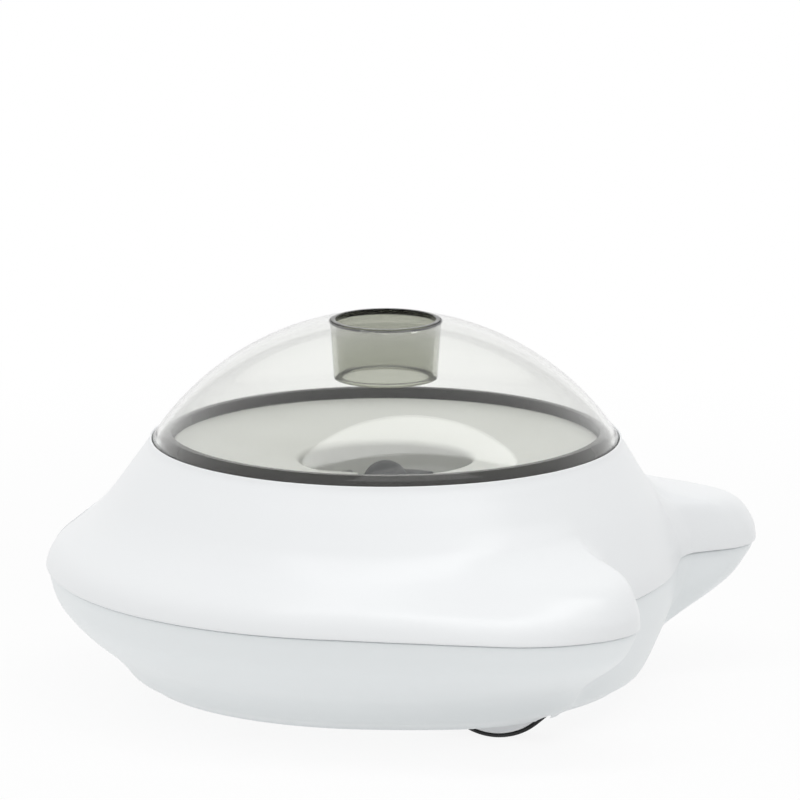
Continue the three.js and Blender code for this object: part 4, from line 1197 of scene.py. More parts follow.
    def make_drums(self, low: float, top: float) -> Solid:
        """Makes the fender drums over the drive wheels, kept inside the casing's outer surface."""
        face, axle = self.surface, WHEEL_CENTRE.yz
        levels = face.heights(low, top, self.envelope_levels)
        rings = [face.ring(z, self.inset(z) + self.sink) for z in levels]
        heights = (top + self.envelope_rise, self.envelope_top_z)
        rings += [face.ring(z, self.wall + self.sink) for z in heights]
        envelope = lofted("envelope", rings, closed=False)
        drums = gathered([rod(Axis.X, self.drum_radius, sided(side, self.drum_x), axle, Detail.LARGE)
                          for side in (1, -1)])
        combine(drums, envelope, "INTERSECT")
        return drums

    def make_inner_works(self, top: float, floor: float) -> list[Solid]:
        """Makes the fender drums, posts, standoffs and saddles of the lower shell."""
        low, root = self.surface.bottom_z + self.sink, floor - self.sink
        parts = [self.make_drums(low, top), *self.posts.rods(self.posts.radius, (low, top))]
        span = (root, self.standoff_top_z)
        parts += [rod(Axis.Z, self.standoff_radius, span, (x, AXIS.y + y), Detail.SMALL)
                  for x in self.standoff_x for y in self.standoff_y]
        parts += [block(sided(side, self.saddle_x), along_y(self.saddle_y), (root, self.saddle_top_z))
                  for side in (-1, 1)]
        span = (root, floor + self.hatch_post_height)
        parts.append(rod(Axis.Z, self.hatch_post_radius, span, HATCH_SCREW_SPOT, Detail.SMALL))
        return parts

    def make_lower_openings(self, floor: float) -> list[Solid]:
        """Makes the tools for the wheel spaces and for every hole in the lower shell."""
        under = self.surface.bottom_z - self.floor_overrun
        through, axle = (under, floor + self.floor_overrun), WHEEL_CENTRE.yz
        tools = []
        for side in (-1, 1):
            space = rod(Axis.X, self.wheel_space_radius, sided(side, self.wheel_space_x), axle, Detail.LARGE)
            bore = rod(Axis.X, self.axle_bore_radius, sided(side, self.axle_bore_x), axle, Detail.SMALL)
            combine(space, bore, "UNION")
            tools.append(space)
        tools += self.posts.wells(under)
        (x, y), pitch, count = self.speaker_place, self.speaker_hole_pitch, self.speaker_holes_round
        turns = [math.tau * i / count for i in range(count)]
        around = [(pitch * math.sin(a), pitch * math.cos(a)) for a in turns]
        tools += [rod(Axis.Z, self.speaker_hole_radius, through, (x + u, AXIS.y + y + v), Detail.SMALL)
                  for u, v in ((0.0, 0.0), *around)]
        tools.append(rod(Axis.Z, self.caster_hole_radius, through, CASTER_CENTRE.xy, Detail.LARGE))
        seat_x, seat_y = self.hatch_seat
        mouth_x, mouth_y = self.hatch_mouth
        pocket = block(seat_x, along_y(seat_y), (under, self.hatch_seat_top_z))
        combine(pocket, block(mouth_x, along_y(mouth_y), through), "UNION")
        combine(pocket, rod(Axis.Z, self.hatch_bore_radius, (under, floor + self.hatch_bore_depth),
                            HATCH_SCREW_SPOT, Detail.SMALL), "UNION")
        x_span, y_span, z_span = self.port_hole
        port = block(x_span, along_y(y_span), z_span)
        soften_edges(port, self.port_hole_edge, 4)
        return [*tools, pocket, port]


# Dome and hopper

@dataclass
class Dome:
    """The clear dome with its dark base ring, the fill neck and the seal below."""

    skirt_radius: float = 83.7 * MM
    bottom_z: float = 92.0 * MM
    skirt_top_z: float = 95.3 * MM
    hole_radius: float = 20 * MM
    top_z: float = 137.9 * MM
    wall: float = 2 * MM
    edge: float = 0.5 * MM
    foot_start: float = 0.6 * MM
    steps: int = 40
    ring_gap: float = 0.15 * MM
    ring_lift: float = 0.05 * MM
    ring_inner_radius: float = 76.6 * MM
    ring_top_z: float = 97.5 * MM
    ring_steps: int = 6
    neck_corners: Corners = in_mm(
        (19.7, 138.2, 0.3), (18.1, 138.2, 0.15), (18.1, 137, 0), (17, 117.6, 0.3), (15.5, 117.6, 0.5),
        (15.5, 116.4, 0.5), (18.6, 116.4, 0.5), (19.7, 134.2, 0))
    seal_corners: Corners = in_mm((79.8, 90.7, 0.3), (83.4, 90.7, 0.3), (83.4, 91.7, 0.3), (79.8, 91.7, 0.3))

    def __post_init__(self) -> None:
        """Finds the sphere through the skirt's top and the hole's edge."""
        rise = self.top_z - self.skirt_top_z
        shift = (self.hole_radius ** 2 - self.skirt_radius ** 2) / (2 * rise)
        self.centre_z = (self.top_z + self.skirt_top_z) / 2 + shift
        self.radius = math.hypot(self.skirt_radius, self.skirt_top_z - self.centre_z)

    def arc(self, radius: float, start: float, end: float, steps: int) -> list[Point]:
        """Gives points on a sphere's meridian between two distances from the axis."""
        first, last = math.asin(start / radius), math.asin(end / radius)
        angles = [first + (last - first) * i / steps for i in range(steps + 1)]
        return [(radius * math.sin(a), self.centre_z + radius * math.cos(a)) for a in angles]

    def build(self) -> None:
        """Builds the dome's pieces and hands them over."""
        glass, ring = self.make_glass(), self.make_ring()
        neck = turned("neck_tube", filleted(self.neck_corners), Axis.Z, AXIS, Detail.LARGE)
        seal = turned("rim_seal", filleted(self.seal_corners), Axis.Z, AXIS, Detail.HUGE)
        for piece, finish, node in (
                (glass, Finish.DOME, "dome_cover"), (ring, Finish.RING, "dome_cover"),
                (neck, Finish.NECK, "fill_neck"), (seal, Finish.RUBBER, "dome_seal")):
            hand_over(piece, Body.DOME, finish, node, sharp_above=40.0)

    def make_glass(self) -> Solid:
        """Turns the clear dome with its short skirt."""
        low, outer, inner = self.bottom_z, self.skirt_radius, self.skirt_radius - self.wall
        outline = [(inner, low), *filleted([
            (inner + self.foot_start, low, 0.0), (outer, low, self.edge), (outer, low + 2 * self.edge, 0.0)])]
        outline += self.arc(self.radius, outer, self.hole_radius, self.steps)
        outline += self.arc(self.radius - self.wall, self.hole_radius, inner, self.steps)
        return turned("dome_glass", outline, Axis.Z, AXIS, Detail.HUGE)

    def make_ring(self) -> Solid:
        """Turns the dark ring that lines the dome's base."""
        sphere = self.radius - self.wall - self.ring_gap
        outer, inner = self.skirt_radius - self.wall - self.ring_gap, self.ring_inner_radius
        low, high, edge = self.bottom_z + self.ring_lift, self.ring_top_z, self.edge
        tip = math.sqrt(sphere ** 2 - (high - self.centre_z) ** 2)
        outline = [(inner, low), (outer, low), *self.arc(sphere, outer, tip, self.ring_steps)]
        outline += filleted([(tip - edge, high, 0.0), (inner, high, edge), (inner, high - 2 * edge, 0.0)])
        return turned("dome_base_ring", outline, Axis.Z, AXIS, Detail.HUGE)


@dataclass
class Hopper:
    """The bowl, its guard over the drop hole, and the feed rotor in its well."""

    bowl_corners: Corners = in_mm(
        (83.4, 88.8, 0.3), (83.4, 90.4, 0.3), (76.3, 90.4, 0.3), (76.3, 93.6, 0.5), (74.7, 93.6, 0.8),
        (31, 87.2, 2.5), (31, 66, 1), (3.6, 66, 0.3), (3.6, 64, 0), (33, 64, 1), (33, 85.2, 1.5),
        (74.7, 91.6, 0), (74.7, 88.8, 0))
    guard: Spans = in_mm((-9, 9), (-32, -13), (77.3, 79.2))
    guard_edge: float = 0.6 * MM
    guard_radius: float = 32 * MM
    guard_trim_z: Point = (70 * MM, 85 * MM)
    drop_radius: float = 7.5 * MM
    drop_z: Point = (60 * MM, 66.4 * MM)
    rotor_radius: float = 30.2 * MM
    rotor_z: Point = (66.4 * MM, 76.9 * MM)
    rotor_dish: Point = (10.5 * MM, 12 * MM)
    rotor_dish_depth: float = 0.6 * MM
    rotor_fillets: Point = (0.4 * MM, 0.8 * MM)
    rotor_edge: float = 0.35 * MM
    shaft_radius: float = 2.8 * MM
    pocket_pitch: float = 22 * MM
    pocket_radius: float = 6.3 * MM
    pocket_overrun: Point = (2 * MM, 3 * MM)
    pockets: int = 6
    nose_foot: Point = (8.1 * MM, 77.2 * MM)
    nose_centre_z: float = 77.6 * MM
    nose_size: Point = (8.5 * MM, 8.6 * MM)
    nose_bore_z: float = 79.5 * MM
    nose_steps: int = 16

    def build(self) -> None:
        """Builds the bowl, the rotor and its nose and hands them over."""
        hand_over(self.make_bowl(), Body.CASING, Finish.BOWL, "hopper_bowl", sharp_above=30.0)
        hand_over(self.make_rotor(), Body.FEEDER, Finish.MECHANISM, "feed_rotor", sharp_above=35.0)
        hand_over(self.make_nose(), Body.FEEDER, Finish.MECHANISM, "agitator_cone", sharp_above=35.0)

    def make_nose(self) -> Solid:
        """Turns the rounded nose on top of the rotor."""
        bore, (width, height) = self.shaft_radius, self.nose_size
        rounded = [(width * c, self.nose_centre_z + height * s) for s, c in quarter(self.nose_steps)[:-1]]
        return turned("agitator_nose", [
            (bore, self.nose_foot[1]), self.nose_foot, *rounded, (0.0, self.nose_centre_z + height),
            (0.0, self.nose_bore_z), (bore, self.nose_bore_z)], Axis.Z, AXIS, Detail.MEDIUM)

    def make_bowl(self) -> Solid:
        """Turns the bowl, adds the guard and cuts the drop hole."""
        bowl = turned("bowl_dish", filleted(self.bowl_corners), Axis.Z, AXIS, Detail.HUGE)
        x, y, z = self.guard
        guard = block(x, along_y(y), z)
        soften_edges(guard, self.guard_edge)
        combine(guard, rod(Axis.Z, self.guard_radius, self.guard_trim_z, AXIS.xy, Detail.HUGE), "INTERSECT")
        combine(bowl, guard, "UNION")
        cut(bowl, [rod(Axis.Z, self.drop_radius, self.drop_z, (0.0, AXIS.y - self.pocket_pitch))])
        return bowl

    def make_rotor(self) -> Solid:
        """Turns the rotor's disc and cuts its open pockets."""
        low, high = self.rotor_z
        dish_z, (dish_inner, dish_outer) = high - self.rotor_dish_depth, self.rotor_dish
        bore, radius = self.shaft_radius, self.rotor_radius
        outline = filleted([
            (bore, low, 0.0), (radius, low, self.rotor_fillets[0]), (radius, high, self.rotor_fillets[1]),
            (dish_outer, high, 0.0), (dish_inner, dish_z, 0.0), (bore, dish_z, 0.0)])
        rotor = turned("rotor_star", outline, Axis.Z, AXIS, Detail.LARGE)
        past_faces, past_rim = self.pocket_overrun
        span, half, pitch = (low - past_faces, high + past_faces), self.pocket_radius, self.pocket_pitch
        way = rod(Axis.Z, half, span, (0.0, AXIS.y - pitch))
        combine(way, block((-half, half), along_y((-radius - past_rim, -pitch)), span), "UNION")
        cut(rotor, copies_round(way, AXIS, Axis.Z, self.pockets))
        soften_edges(rotor, self.rotor_edge, 2, SHARP_ONLY)
        return rotor


# Running gear

@dataclass
class DriveWheel:
    """The left drive wheel; the right one is its mirror image."""

    inner_x: float = 44 * MM
    width: float = 9.5 * MM
    hub_corners: Corners = in_mm(
        (1.8, 0, 0.2), (6, 0, 0.4), (6, 5.5, 0.6), (19.5, 5.5, 0.6), (19.5, 0, 0.3), (22.5, 0, 0.4),
        (22.5, 9.5, 0.6), (18.6, 9.5, 0.5), (17, 8.5, 0.4), (6.5, 8.5, 0.5), (5.6, 9.3, 0.4), (0, 9.3, 0),
        (0, 5.8, 0), (1.8, 5.8, 0))
    window_corners: Corners = in_mm((8.6, 7.7, 0.4), (15.8, 7.7, 0.4), (15.8, 10.5, 0), (8.6, 10.5, 0))
    spoke_half: float = 1.6 * MM
    spoke_length: float = 20 * MM
    spoke_reach: Point = (-3 * MM, 2 * MM)
    spokes: int = 5
    tyre_radius: float = 24 * MM
    tyre_inner_radius: float = 22.8 * MM
    shoulder: float = 2.2 * MM
    shoulder_fillet: float = 1 * MM
    tread_half: float = 2 * MM
    tread_depth: float = 0.5 * MM
    tread_tolerance: float = 0.1 * MM
    tread_every: int = 4

    def __post_init__(self) -> None:
        """Puts the middle of the wheel's inner face in its place."""
        self.centre = WHEEL_CENTRE + Axis.X.value * self.inner_x

    def build(self) -> None:
        """Builds both wheels and hands them over."""
        hub, tyre = self.make_hub(), self.make_tyre()
        for side, body, twins in (("left", Body.LEFT_WHEEL, (hub, tyre)),
                                  ("right", Body.RIGHT_WHEEL, (mirrored(hub, "wheel_hub_right"),
                                                               mirrored(tyre, "tyre_right")))):
            hand_over(twins[0], body, Finish.HUB, f"{side}_wheel_hub", sharp_above=35.0)
            hand_over(twins[1], body, Finish.RUBBER, f"{side}_tyre", sharp_above=35.0)

    def make_hub(self) -> Solid:
        """Turns the hub and cuts shallow windows between its spokes."""
        hub = turned("wheel_hub_left", filleted(self.hub_corners), Axis.X, self.centre, Detail.LARGE)
        window = turned("window", filleted(self.window_corners), Axis.X, self.centre, Detail.LARGE)
        x, y, z = self.centre
        near, far = (x + self.width + reach for reach in self.spoke_reach)
        bar = block((near, far), (y - self.spoke_half, y + self.spoke_half), (z, z + self.spoke_length))
        for piece in copies_round(bar, self.centre, Axis.X, self.spokes):
            combine(window, piece, "DIFFERENCE")
        combine(hub, window, "DIFFERENCE")
        return hub

    def on_tread(self, spot: Vector) -> bool:
        """Tells whether a face's middle lies where the tread is pressed in."""
        spoke = spot - self.centre
        turn = int(math.degrees(math.atan2(spoke.y, spoke.z)) % 360 * Detail.LARGE.value / 360)
        outside = math.hypot(spoke.y, spoke.z) > self.tyre_radius - self.tread_tolerance
        return outside and abs(spoke.x - self.width / 2) < self.tread_half and turn % self.tread_every == 0

    def make_tyre(self) -> Solid:
        """Turns the tyre and presses a tread into its running surface."""
        outer, inner, width = self.tyre_radius, self.tyre_inner_radius, self.width
        tyre = turned("tyre_left", filleted([
            (inner, 0.0, 0.0), (outer, 0.0, self.shoulder_fillet), (outer, self.shoulder, 0.0),
            (outer, width - self.shoulder, 0.0), (outer, width, self.shoulder_fillet), (inner, width, 0.0)]),
            Axis.X, self.centre, Detail.LARGE)
        pick(tyre)
        bpy.ops.object.mode_set(mode="EDIT")
        bpy.ops.mesh.select_mode(type="FACE")
        bpy.ops.mesh.select_all(action="DESELECT")
        mesh = bmesh.from_edit_mesh(tyre.data)
        for face in mesh.faces:
            face.select = self.on_tread(face.calc_center_median())
        bmesh.update_edit_mesh(tyre.data)
        bpy.ops.mesh.extrude_region_shrink_fatten(TRANSFORM_OT_shrink_fatten={"value": -self.tread_depth})
        bpy.ops.object.mode_set(mode="OBJECT")
        return tyre


@dataclass
class Caster:
    """The swivelling front roller in its housing."""

    housing_corners: Corners = in_mm(
        (13.8, 7.2, 0.3), (13.8, 10.1, 0), (17, 10.1, 0.3), (17, 11.7, 0.3), (13.8, 11.7, 0.4),
        (13.8, 22.5, 1), (2.6, 22.5, 0.2), (2.6, 20.5, 0), (12.4, 20.5, 1), (12.4, 7.2, 0.4))
    yoke_corners: Corners = in_mm(
        (0, 18.2, 0), (11.5, 18.2, 0.4), (11.5, 20.2, 0.4), (2.3, 20.2, 0.2), (2.3, 22.8, 0),
        (3.5, 22.8, 0.2), (3.5, 24.2, 0.5), (0, 24.2, 0))
    roller_corners: Corners = in_mm(
        (1.5, -3.8, 0.2), (3, -3.8, 0.3), (3.4, -3.2, 0.2), (6, -3.2, 0.3), (6.4, -3.8, 0.3),
        (7.7, -3.8, 0.8))
    crown: Corners = in_mm((8, 0, 3))
    trail: float = 3.5 * MM
    axle_z: float = 8 * MM
    axle_hole_radius: float = 1.5 * MM
    arm_x: Point = (4.4 * MM, 6.2 * MM)
    arm_half: float = 3.5 * MM
    arm_top_z: float = 18.8 * MM
    yoke_edge: float = 0.2 * MM

    def build(self) -> None:
        """Builds the housing, the yoke and the roller and hands them over."""
        outline = filleted(self.housing_corners)
        housing = turned("caster_housing", outline, Axis.Z, CASTER_CENTRE, Detail.LARGE)
        hand_over(housing, Body.CASING, Finish.MECHANISM, "caster_cup")
        hand_over(self.make_yoke(), Body.CASTER_SWIVEL, Finish.MECHANISM, "caster_fork")
        hand_over(self.make_roller(), Body.CASTER_ROLLER, Finish.RUBBER, "caster_wheel")

    def make_yoke(self) -> Solid:
        """Turns the swivel plate with its stem and adds the two arms."""
        yoke = turned("caster_yoke", filleted(self.yoke_corners), Axis.Z, CASTER_CENTRE, Detail.MEDIUM)
        y, half = CASTER_CENTRE.y + self.trail, self.arm_half
        arms = []
        for side in (-1, 1):
            span = sided(side, self.arm_x)
            arm = rod(Axis.X, half, span, (y, self.axle_z))
            combine(arm, block(span, (y - half, y + half), (self.axle_z, self.arm_top_z)), "UNION")
            arms.append(arm)
        unite(yoke, arms)
        reach = self.arm_x[1] + OVERRUN
        cut(yoke, [rod(Axis.X, self.axle_hole_radius, (-reach, reach), (y, self.axle_z), Detail.SMALL)])
        soften_edges(yoke, self.yoke_edge, 2, SHARP_ONLY)
        return yoke

    def make_roller(self) -> Solid:
        """Turns the roller with a crowned tread and dished sides."""
        far_side = [(radius, -x, fillet) for radius, x, fillet in reversed(self.roller_corners)]
        outline = filleted([*self.roller_corners, *self.crown, *far_side])
        centre = CASTER_CENTRE + Vector((0.0, self.trail, self.axle_z))
        return turned("caster_roller_wheel", outline, Axis.X, centre, Detail.MEDIUM)


# Outlet and fittings

@dataclass
class Outlet:
    """The launch duct, the pale bezel round its mouth and the hanging flap."""

    surface: CasingSurface
    outer_x: float = 12 * MM
    outer_z: Point = (49 * MM, 63.7 * MM)
    bore_x: float = 10 * MM
    bore_z: Point = (51 * MM, 61.7 * MM)
    front_y: float = -135 * MM
    back_y: float = -12.3 * MM
    bore_back_y: float = -13.9 * MM
    bezel_back_y: float = -100 * MM
    bezel_bore_back_y: float = -90 * MM
    bezel_proud: float = 0.3 * MM
    bezel_depth: float = 2.4 * MM
    bezel_edge: float = 0.35 * MM
    bezel_flat_degrees: float = 1.2
    seat_gap: float = 0.2 * MM
    slice_margin: float = 2 * MM
    inlet_radius: float = 7.5 * MM
    inlet_y: float = -22 * MM
    inlet_height: float = 4 * MM
    slot_half: float = 5.5 * MM
    slot_y: Point = (-57.5 * MM, -30.5 * MM)
    slot_depth: float = 4 * MM
    slot_edge: float = 0.8 * MM
    duct_edge: float = 0.25 * MM
    pin: Point = (-104 * MM, 59.6 * MM)
    pin_hole_radius: float = 1.3 * MM
    flap_half: float = 9.5 * MM
    flap_gap: float = 0.3 * MM
    flap_barrel_radius: float = 1.8 * MM
    flap_plate_y: Point = (-0.7 * MM, 0.5 * MM)
    flap_plate_lift: float = 0.4 * MM
    flap_lip_radius: float = 0.7 * MM
    rib_places: tuple[float, ...] = (-6 * MM, -2 * MM, 2 * MM, 6 * MM)
    rib_half: float = 0.5 * MM
    rib_depth: float = 0.7 * MM
    rib_inset: float = 1 * MM
    flap_edge: float = 0.12 * MM

    def build(self) -> None:
        """Builds the three pieces and hands them over."""
        hand_over(self.make_bezel(), Body.CASING, Finish.BEZEL, "launch_duct")
        hand_over(self.make_duct(), Body.CASING, Finish.MECHANISM, "launch_duct")
        hand_over(self.make_flap(), Body.FLAP, Finish.MECHANISM, "outlet_flap")

    def slice(self, inset: float) -> Solid:
        """Lofts the casing's slice round the duct at an inset from the surface."""
        low, high = self.outer_z
        return self.surface.slab(inset, low - self.slice_margin, high + self.slice_margin)

    def beam(self, half: float, heights: Point, back_y: float) -> Solid:
        """Adds a bar that runs forwards through the casing's front."""
        return block((-half, half), along_y((self.front_y, back_y)), heights)

    def pin_hole(self, half: float) -> Solid:
        """Makes the tool for the pin's hole, which reaches past both ends of a span."""
        y, z = self.pin
        span = (-half - OVERRUN, half + OVERRUN)
        return rod(Axis.X, self.pin_hole_radius, span, (AXIS.y + y, z), Detail.SMALL)

    def make_bezel(self) -> Solid:
        """Cuts the bezel out of a beam between two offsets of the casing's surface."""
        bezel = self.beam(self.outer_x, self.outer_z, self.bezel_back_y)
        combine(bezel, self.slice(-self.bezel_proud), "INTERSECT")
        combine(bezel, self.slice(self.bezel_depth), "DIFFERENCE")
        combine(bezel, self.beam(self.bore_x, self.bore_z, self.bezel_bore_back_y), "DIFFERENCE")
        apply_modifier(bezel, "DECIMATE", decimate_type="DISSOLVE",
                       angle_limit=math.radians(self.bezel_flat_degrees))
        soften_edges(bezel, self.bezel_edge, 3, SHARP_ONLY)
        return finish_mesh(bezel, "mouth_bezel")

    def make_duct(self) -> Solid:
        """Cuts the duct's bore, inlet, wheel slot and pin hole."""
        low, high = self.bore_z
        duct = self.beam(self.outer_x, self.outer_z, self.back_y)
        combine(duct, self.slice(self.bezel_depth + self.seat_gap), "INTERSECT")
        bore = self.beam(self.bore_x, self.bore_z, self.bore_back_y)
        span = (high - OVERRUN, high + self.inlet_height)
        combine(bore, rod(Axis.Z, self.inlet_radius, span, (0.0, AXIS.y + self.inlet_y)), "UNION")
        span = (low - self.slot_depth, low + OVERRUN)
        slot = block((-self.slot_half, self.slot_half), along_y(self.slot_y), span)
        soften_edges(slot, self.slot_edge)
        combine(bore, slot, "UNION")
        combine(bore, self.pin_hole(self.outer_x), "UNION")
        combine(duct, bore, "DIFFERENCE")
        soften_edges(duct, self.duct_edge, 2, SHARP_ONLY)
        return finish_mesh(duct, "mouth_duct")

    def make_flap(self) -> Solid:
        """Hangs a ribbed plate with a rolled lip from its barrel."""
        y, z = AXIS.y + self.pin[0], self.pin[1]
        half, low = self.flap_half, self.bore_z[0] + self.flap_gap
        front, back = (y + depth for depth in self.flap_plate_y)
        span, lip = (-half, half), self.flap_lip_radius
        flap = rod(Axis.X, self.flap_barrel_radius, span, (y, z), Detail.SMALL)
        combine(flap, block(span, (front, back), (low + self.flap_plate_lift, z)), "UNION")
        combine(flap, rod(Axis.X, lip, span, (y, low + lip), Detail.SMALL), "UNION")
        rib_y, rib_z = (y, y + self.rib_depth), (low + self.rib_inset, z - self.rib_inset)
        unite(flap, [block((x - self.rib_half, x + self.rib_half), rib_y, rib_z) for x in self.rib_places])
        cut(flap, [self.pin_hole(half)])
        soften_edges(flap, self.flap_edge, 2, SHARP_ONLY)
        return finish_mesh(flap, "mouth_flap")


@dataclass(frozen=True)
class Screw:
    """A cross-head screw that stands head down on the origin."""

    head_radius: float
    head_height: float
    radius: float
    length: float
    pitch: float
    head_curve: tuple[Point, ...] = ((0.7, 0.08 * MM), (0.93, 0.3 * MM), (1.0, 0.7 * MM))
    thread_depth: float = 0.25 * MM
    tip: float = 0.8 * MM
    tip_share: float = 0.4
    cross_half: float = 0.3 * MM
    cross_share: float = 0.55
    cross_depth_share: float = 0.6

    def make(self, name: str) -> Solid:
        """Turns the screw with its thread and sinks a cross into its head."""
        core, ridges = self.radius - self.thread_depth, int(self.length / 2 / self.pitch)
        start = self.length - self.tip - ridges * self.pitch
        head = [(self.head_radius * share, height) for share, height in self.head_curve]
        thread = [point for i in range(ridges) for point in (
            (core, start + i * self.pitch), (self.radius, start + (i + 0.5) * self.pitch))]
        screw = turned(name, [
            (0.0, 0.0), *head, (self.head_radius, self.head_height), (core, self.head_height), *thread,
            (core, self.length - self.tip), (core * self.tip_share, self.length), (0.0, self.length)],
            Axis.Z, Vector(), Detail.SMALL)
        long, thin = ((-half, half) for half in (self.head_radius * self.cross_share, self.cross_half))
        depth = (-OVERRUN, self.head_height * self.cross_depth_share)
        cross = block(long, thin, depth)
        combine(cross, block(thin, long, depth), "UNION")
        combine(screw, cross, "DIFFERENCE")
        return screw


@dataclass
class Fittings:
    """The power key, its lamp, the charging port, the battery hatch and the screws."""

    posts: Posts
    key: KeyPlace
    cap_corners: Corners = in_mm(
        (0, -7.1, 0), (1.6, -7.1, 0), (1.6, -4.1, 0), (7.2, -4.1, 0.3), (7.2, -2.9, 0.3), (6, -2.9, 0.3),
        (6, 1, 0.7), (4.9, 0.9, 0.6), (3.1, 0.45, 0), (2.9, 0.2, 0), (2.4, 0.2, 0), (2.2, 0.4, 0),
        (0, 0.35, 0))
    lens_radius: float = 1.8 * MM
    lens_foot: float = -2.9 * MM
    lens_rise: float = 0.5 * MM
    lens_steps: int = 8
    port_x: Point = (-111.25 * MM, -102.25 * MM)
    port_z: float = 30 * MM
    port_size: tuple[float, ...] = (4.5 * MM, 1.65 * MM, 1.6 * MM)
    port_mouth_size: tuple[float, ...] = (4 * MM, 1.15 * MM, 1.1 * MM)
    port_floor: float = 2 * MM
    port_edge: float = 0.08 * MM
    port_steps: int = 8
    tongue_inset: Point = (0.5 * MM, 1 * MM)
    tongue_half: Point = (2.6 * MM, 0.3 * MM)
    hatch: Spans = in_mm((17.3, 50.7), (-34.7, 23.7), (7.2, 8.5))
    hatch_edge: float = 0.35 * MM
    hatch_hole_radius: float = 1.3 * MM
    grooves: int = 4
    groove_half: float = 9 * MM
    groove_y: Point = (-4.6 * MM, -3.4 * MM)
    groove_pitch: float = 2.4 * MM
    groove_depth: float = 0.5 * MM
    hatch_screw: Screw = Screw(
        head_radius=2.2 * MM, head_height=1 * MM, radius=1 * MM, length=10.3 * MM, pitch=0.7 * MM)
    hatch_screw_z: float = 5.9 * MM
    casing_screw: Screw = Screw(
        head_radius=2.8 * MM, head_height=1.7 * MM, radius=1.5 * MM, length=43.4 * MM, pitch=1.1 * MM)
    casing_screw_z: float = 13.9 * MM

    def build(self) -> None:
        """Builds the fittings and hands them over."""
        self.build_key()
        hand_over(self.make_port(), Body.CASING, Finish.STEEL, "charge_socket")
        hand_over(self.make_hatch(), Body.CASING, Finish.LOWER, "battery_door")
        self.build_screws()

    def build_key(self) -> None:
        """Turns the key with its dished cap and the domed lens of the lamp."""
        cap = turned("key_cap", filleted(self.cap_corners), Axis.Z, Vector(), Detail.LARGE)
        hand_over(placed(cap, self.key.matrix, "key_cap"), Body.POWER_KEY, Finish.KEY, "power_button")
        domed = [(self.lens_radius * c, self.lens_rise * s) for s, c in quarter(self.lens_steps)]
        lens = turned("lamp_lens", [(0.0, self.lens_foot), (self.lens_radius, self.lens_foot), *domed],
                      Axis.Z, Vector(), Detail.SMALL)
        lens = placed(lens, self.key.matrix @ Matrix.Translation((self.key.lamp_x, 0.0, 0.0)), "lamp_lens")
        hand_over(lens, Body.CASING, Finish.LAMP, "status_lamp", sharp_above=50.0)

    def port_outline(self, half_width: float, half_height: float, radius: float) -> list[Point]:
        """Gives a round-ended outline about the port's centre."""
        corners = [(AXIS.y + u * half_width, self.port_z + v * half_height, radius)
                   for u, v in ((-1, -1), (1, -1), (1, 1), (-1, 1))]
        return filleted(corners, self.port_steps)

    def make_port(self) -> Solid:
        """Builds the charging sleeve with the tongue in its mouth."""
        front, back = self.port_x
        port = prism("charging_port", self.port_outline(*self.port_size), self.port_x)
        mouth = self.port_outline(*self.port_mouth_size)
        cut(port, [prism("mouth", mouth, (front - OVERRUN, back - self.port_floor))])
        (half_width, half_height), (start, end) = self.tongue_half, self.tongue_inset
        unite(port, [block((front + start, back - end), along_y((-half_width, half_width)),
                           (self.port_z - half_height, self.port_z + half_height))])
        soften_edges(port, self.port_edge, 2, SHARP_ONLY)
        return port

    def make_hatch(self) -> Solid:
        """Builds the battery hatch with its grip grooves and screw hole."""
        x, y, (low, high) = self.hatch
        rear = along_y(y)[1]
        hatch = block(x, along_y(y), (low, high))
        soften_edges(hatch, self.hatch_edge)
        middle, (start, end) = sum(x) / 2, self.groove_y
        groove_x = (middle - self.groove_half, middle + self.groove_half)
        groove_z = (low - OVERRUN, low + self.groove_depth)
        shifts = [rear - self.groove_pitch * i for i in range(self.grooves)]
        cut(hatch, [block(groove_x, (shift + start, shift + end), groove_z) for shift in shifts])
        span = (low - OVERRUN, high + OVERRUN)
        cut(hatch, [rod(Axis.Z, self.hatch_hole_radius, span, HATCH_SCREW_SPOT, Detail.SMALL)])
        return finish_mesh(hatch, "battery_hatch")

    def build_screws(self) -> None:
        """Makes the hatch's screw and one casing screw that is copied to every post."""
        place = Matrix.Translation((*HATCH_SCREW_SPOT, self.hatch_screw_z))
        small = placed(self.hatch_screw.make("hatch_screw"), place, "hatch_screw")
        hand_over(small, Body.CASING, Finish.STEEL, "battery_door_screw")
        pattern = self.casing_screw.make("pattern")
        for i, spot in enumerate(self.posts.places(), 1):
            screw = copied(pattern, Matrix.Translation((*spot, self.casing_screw_z)), f"casing_screw_{i}")
            hand_over(screw, Body.CASING, Finish.STEEL, f"shell_screw_{i}")
        bpy.data.objects.remove(pattern, do_unlink=True)


# Studio

@dataclass(frozen=True)
class Strip:
    """A soft box that hangs over the launcher."""

    name: str
    spot: Triple
    size: Point
    radiance: float
    turn: float = 27.7

    def hang(self) -> None:
        """Adds the lamp, unseen by the camera."""
        turn = math.radians(self.turn)
        bpy.ops.object.light_add(type="AREA", location=self.spot, rotation=(0.0, 0.0, turn))
        lamp = bpy.context.object
        lamp.name = self.name
        lamp.data.shape = "ELLIPSE"
        lamp.data.size, lamp.data.size_y = self.size
        lamp.data.energy = math.pi * self.size[0] * self.size[1] * self.radiance
        lamp.visible_camera = False


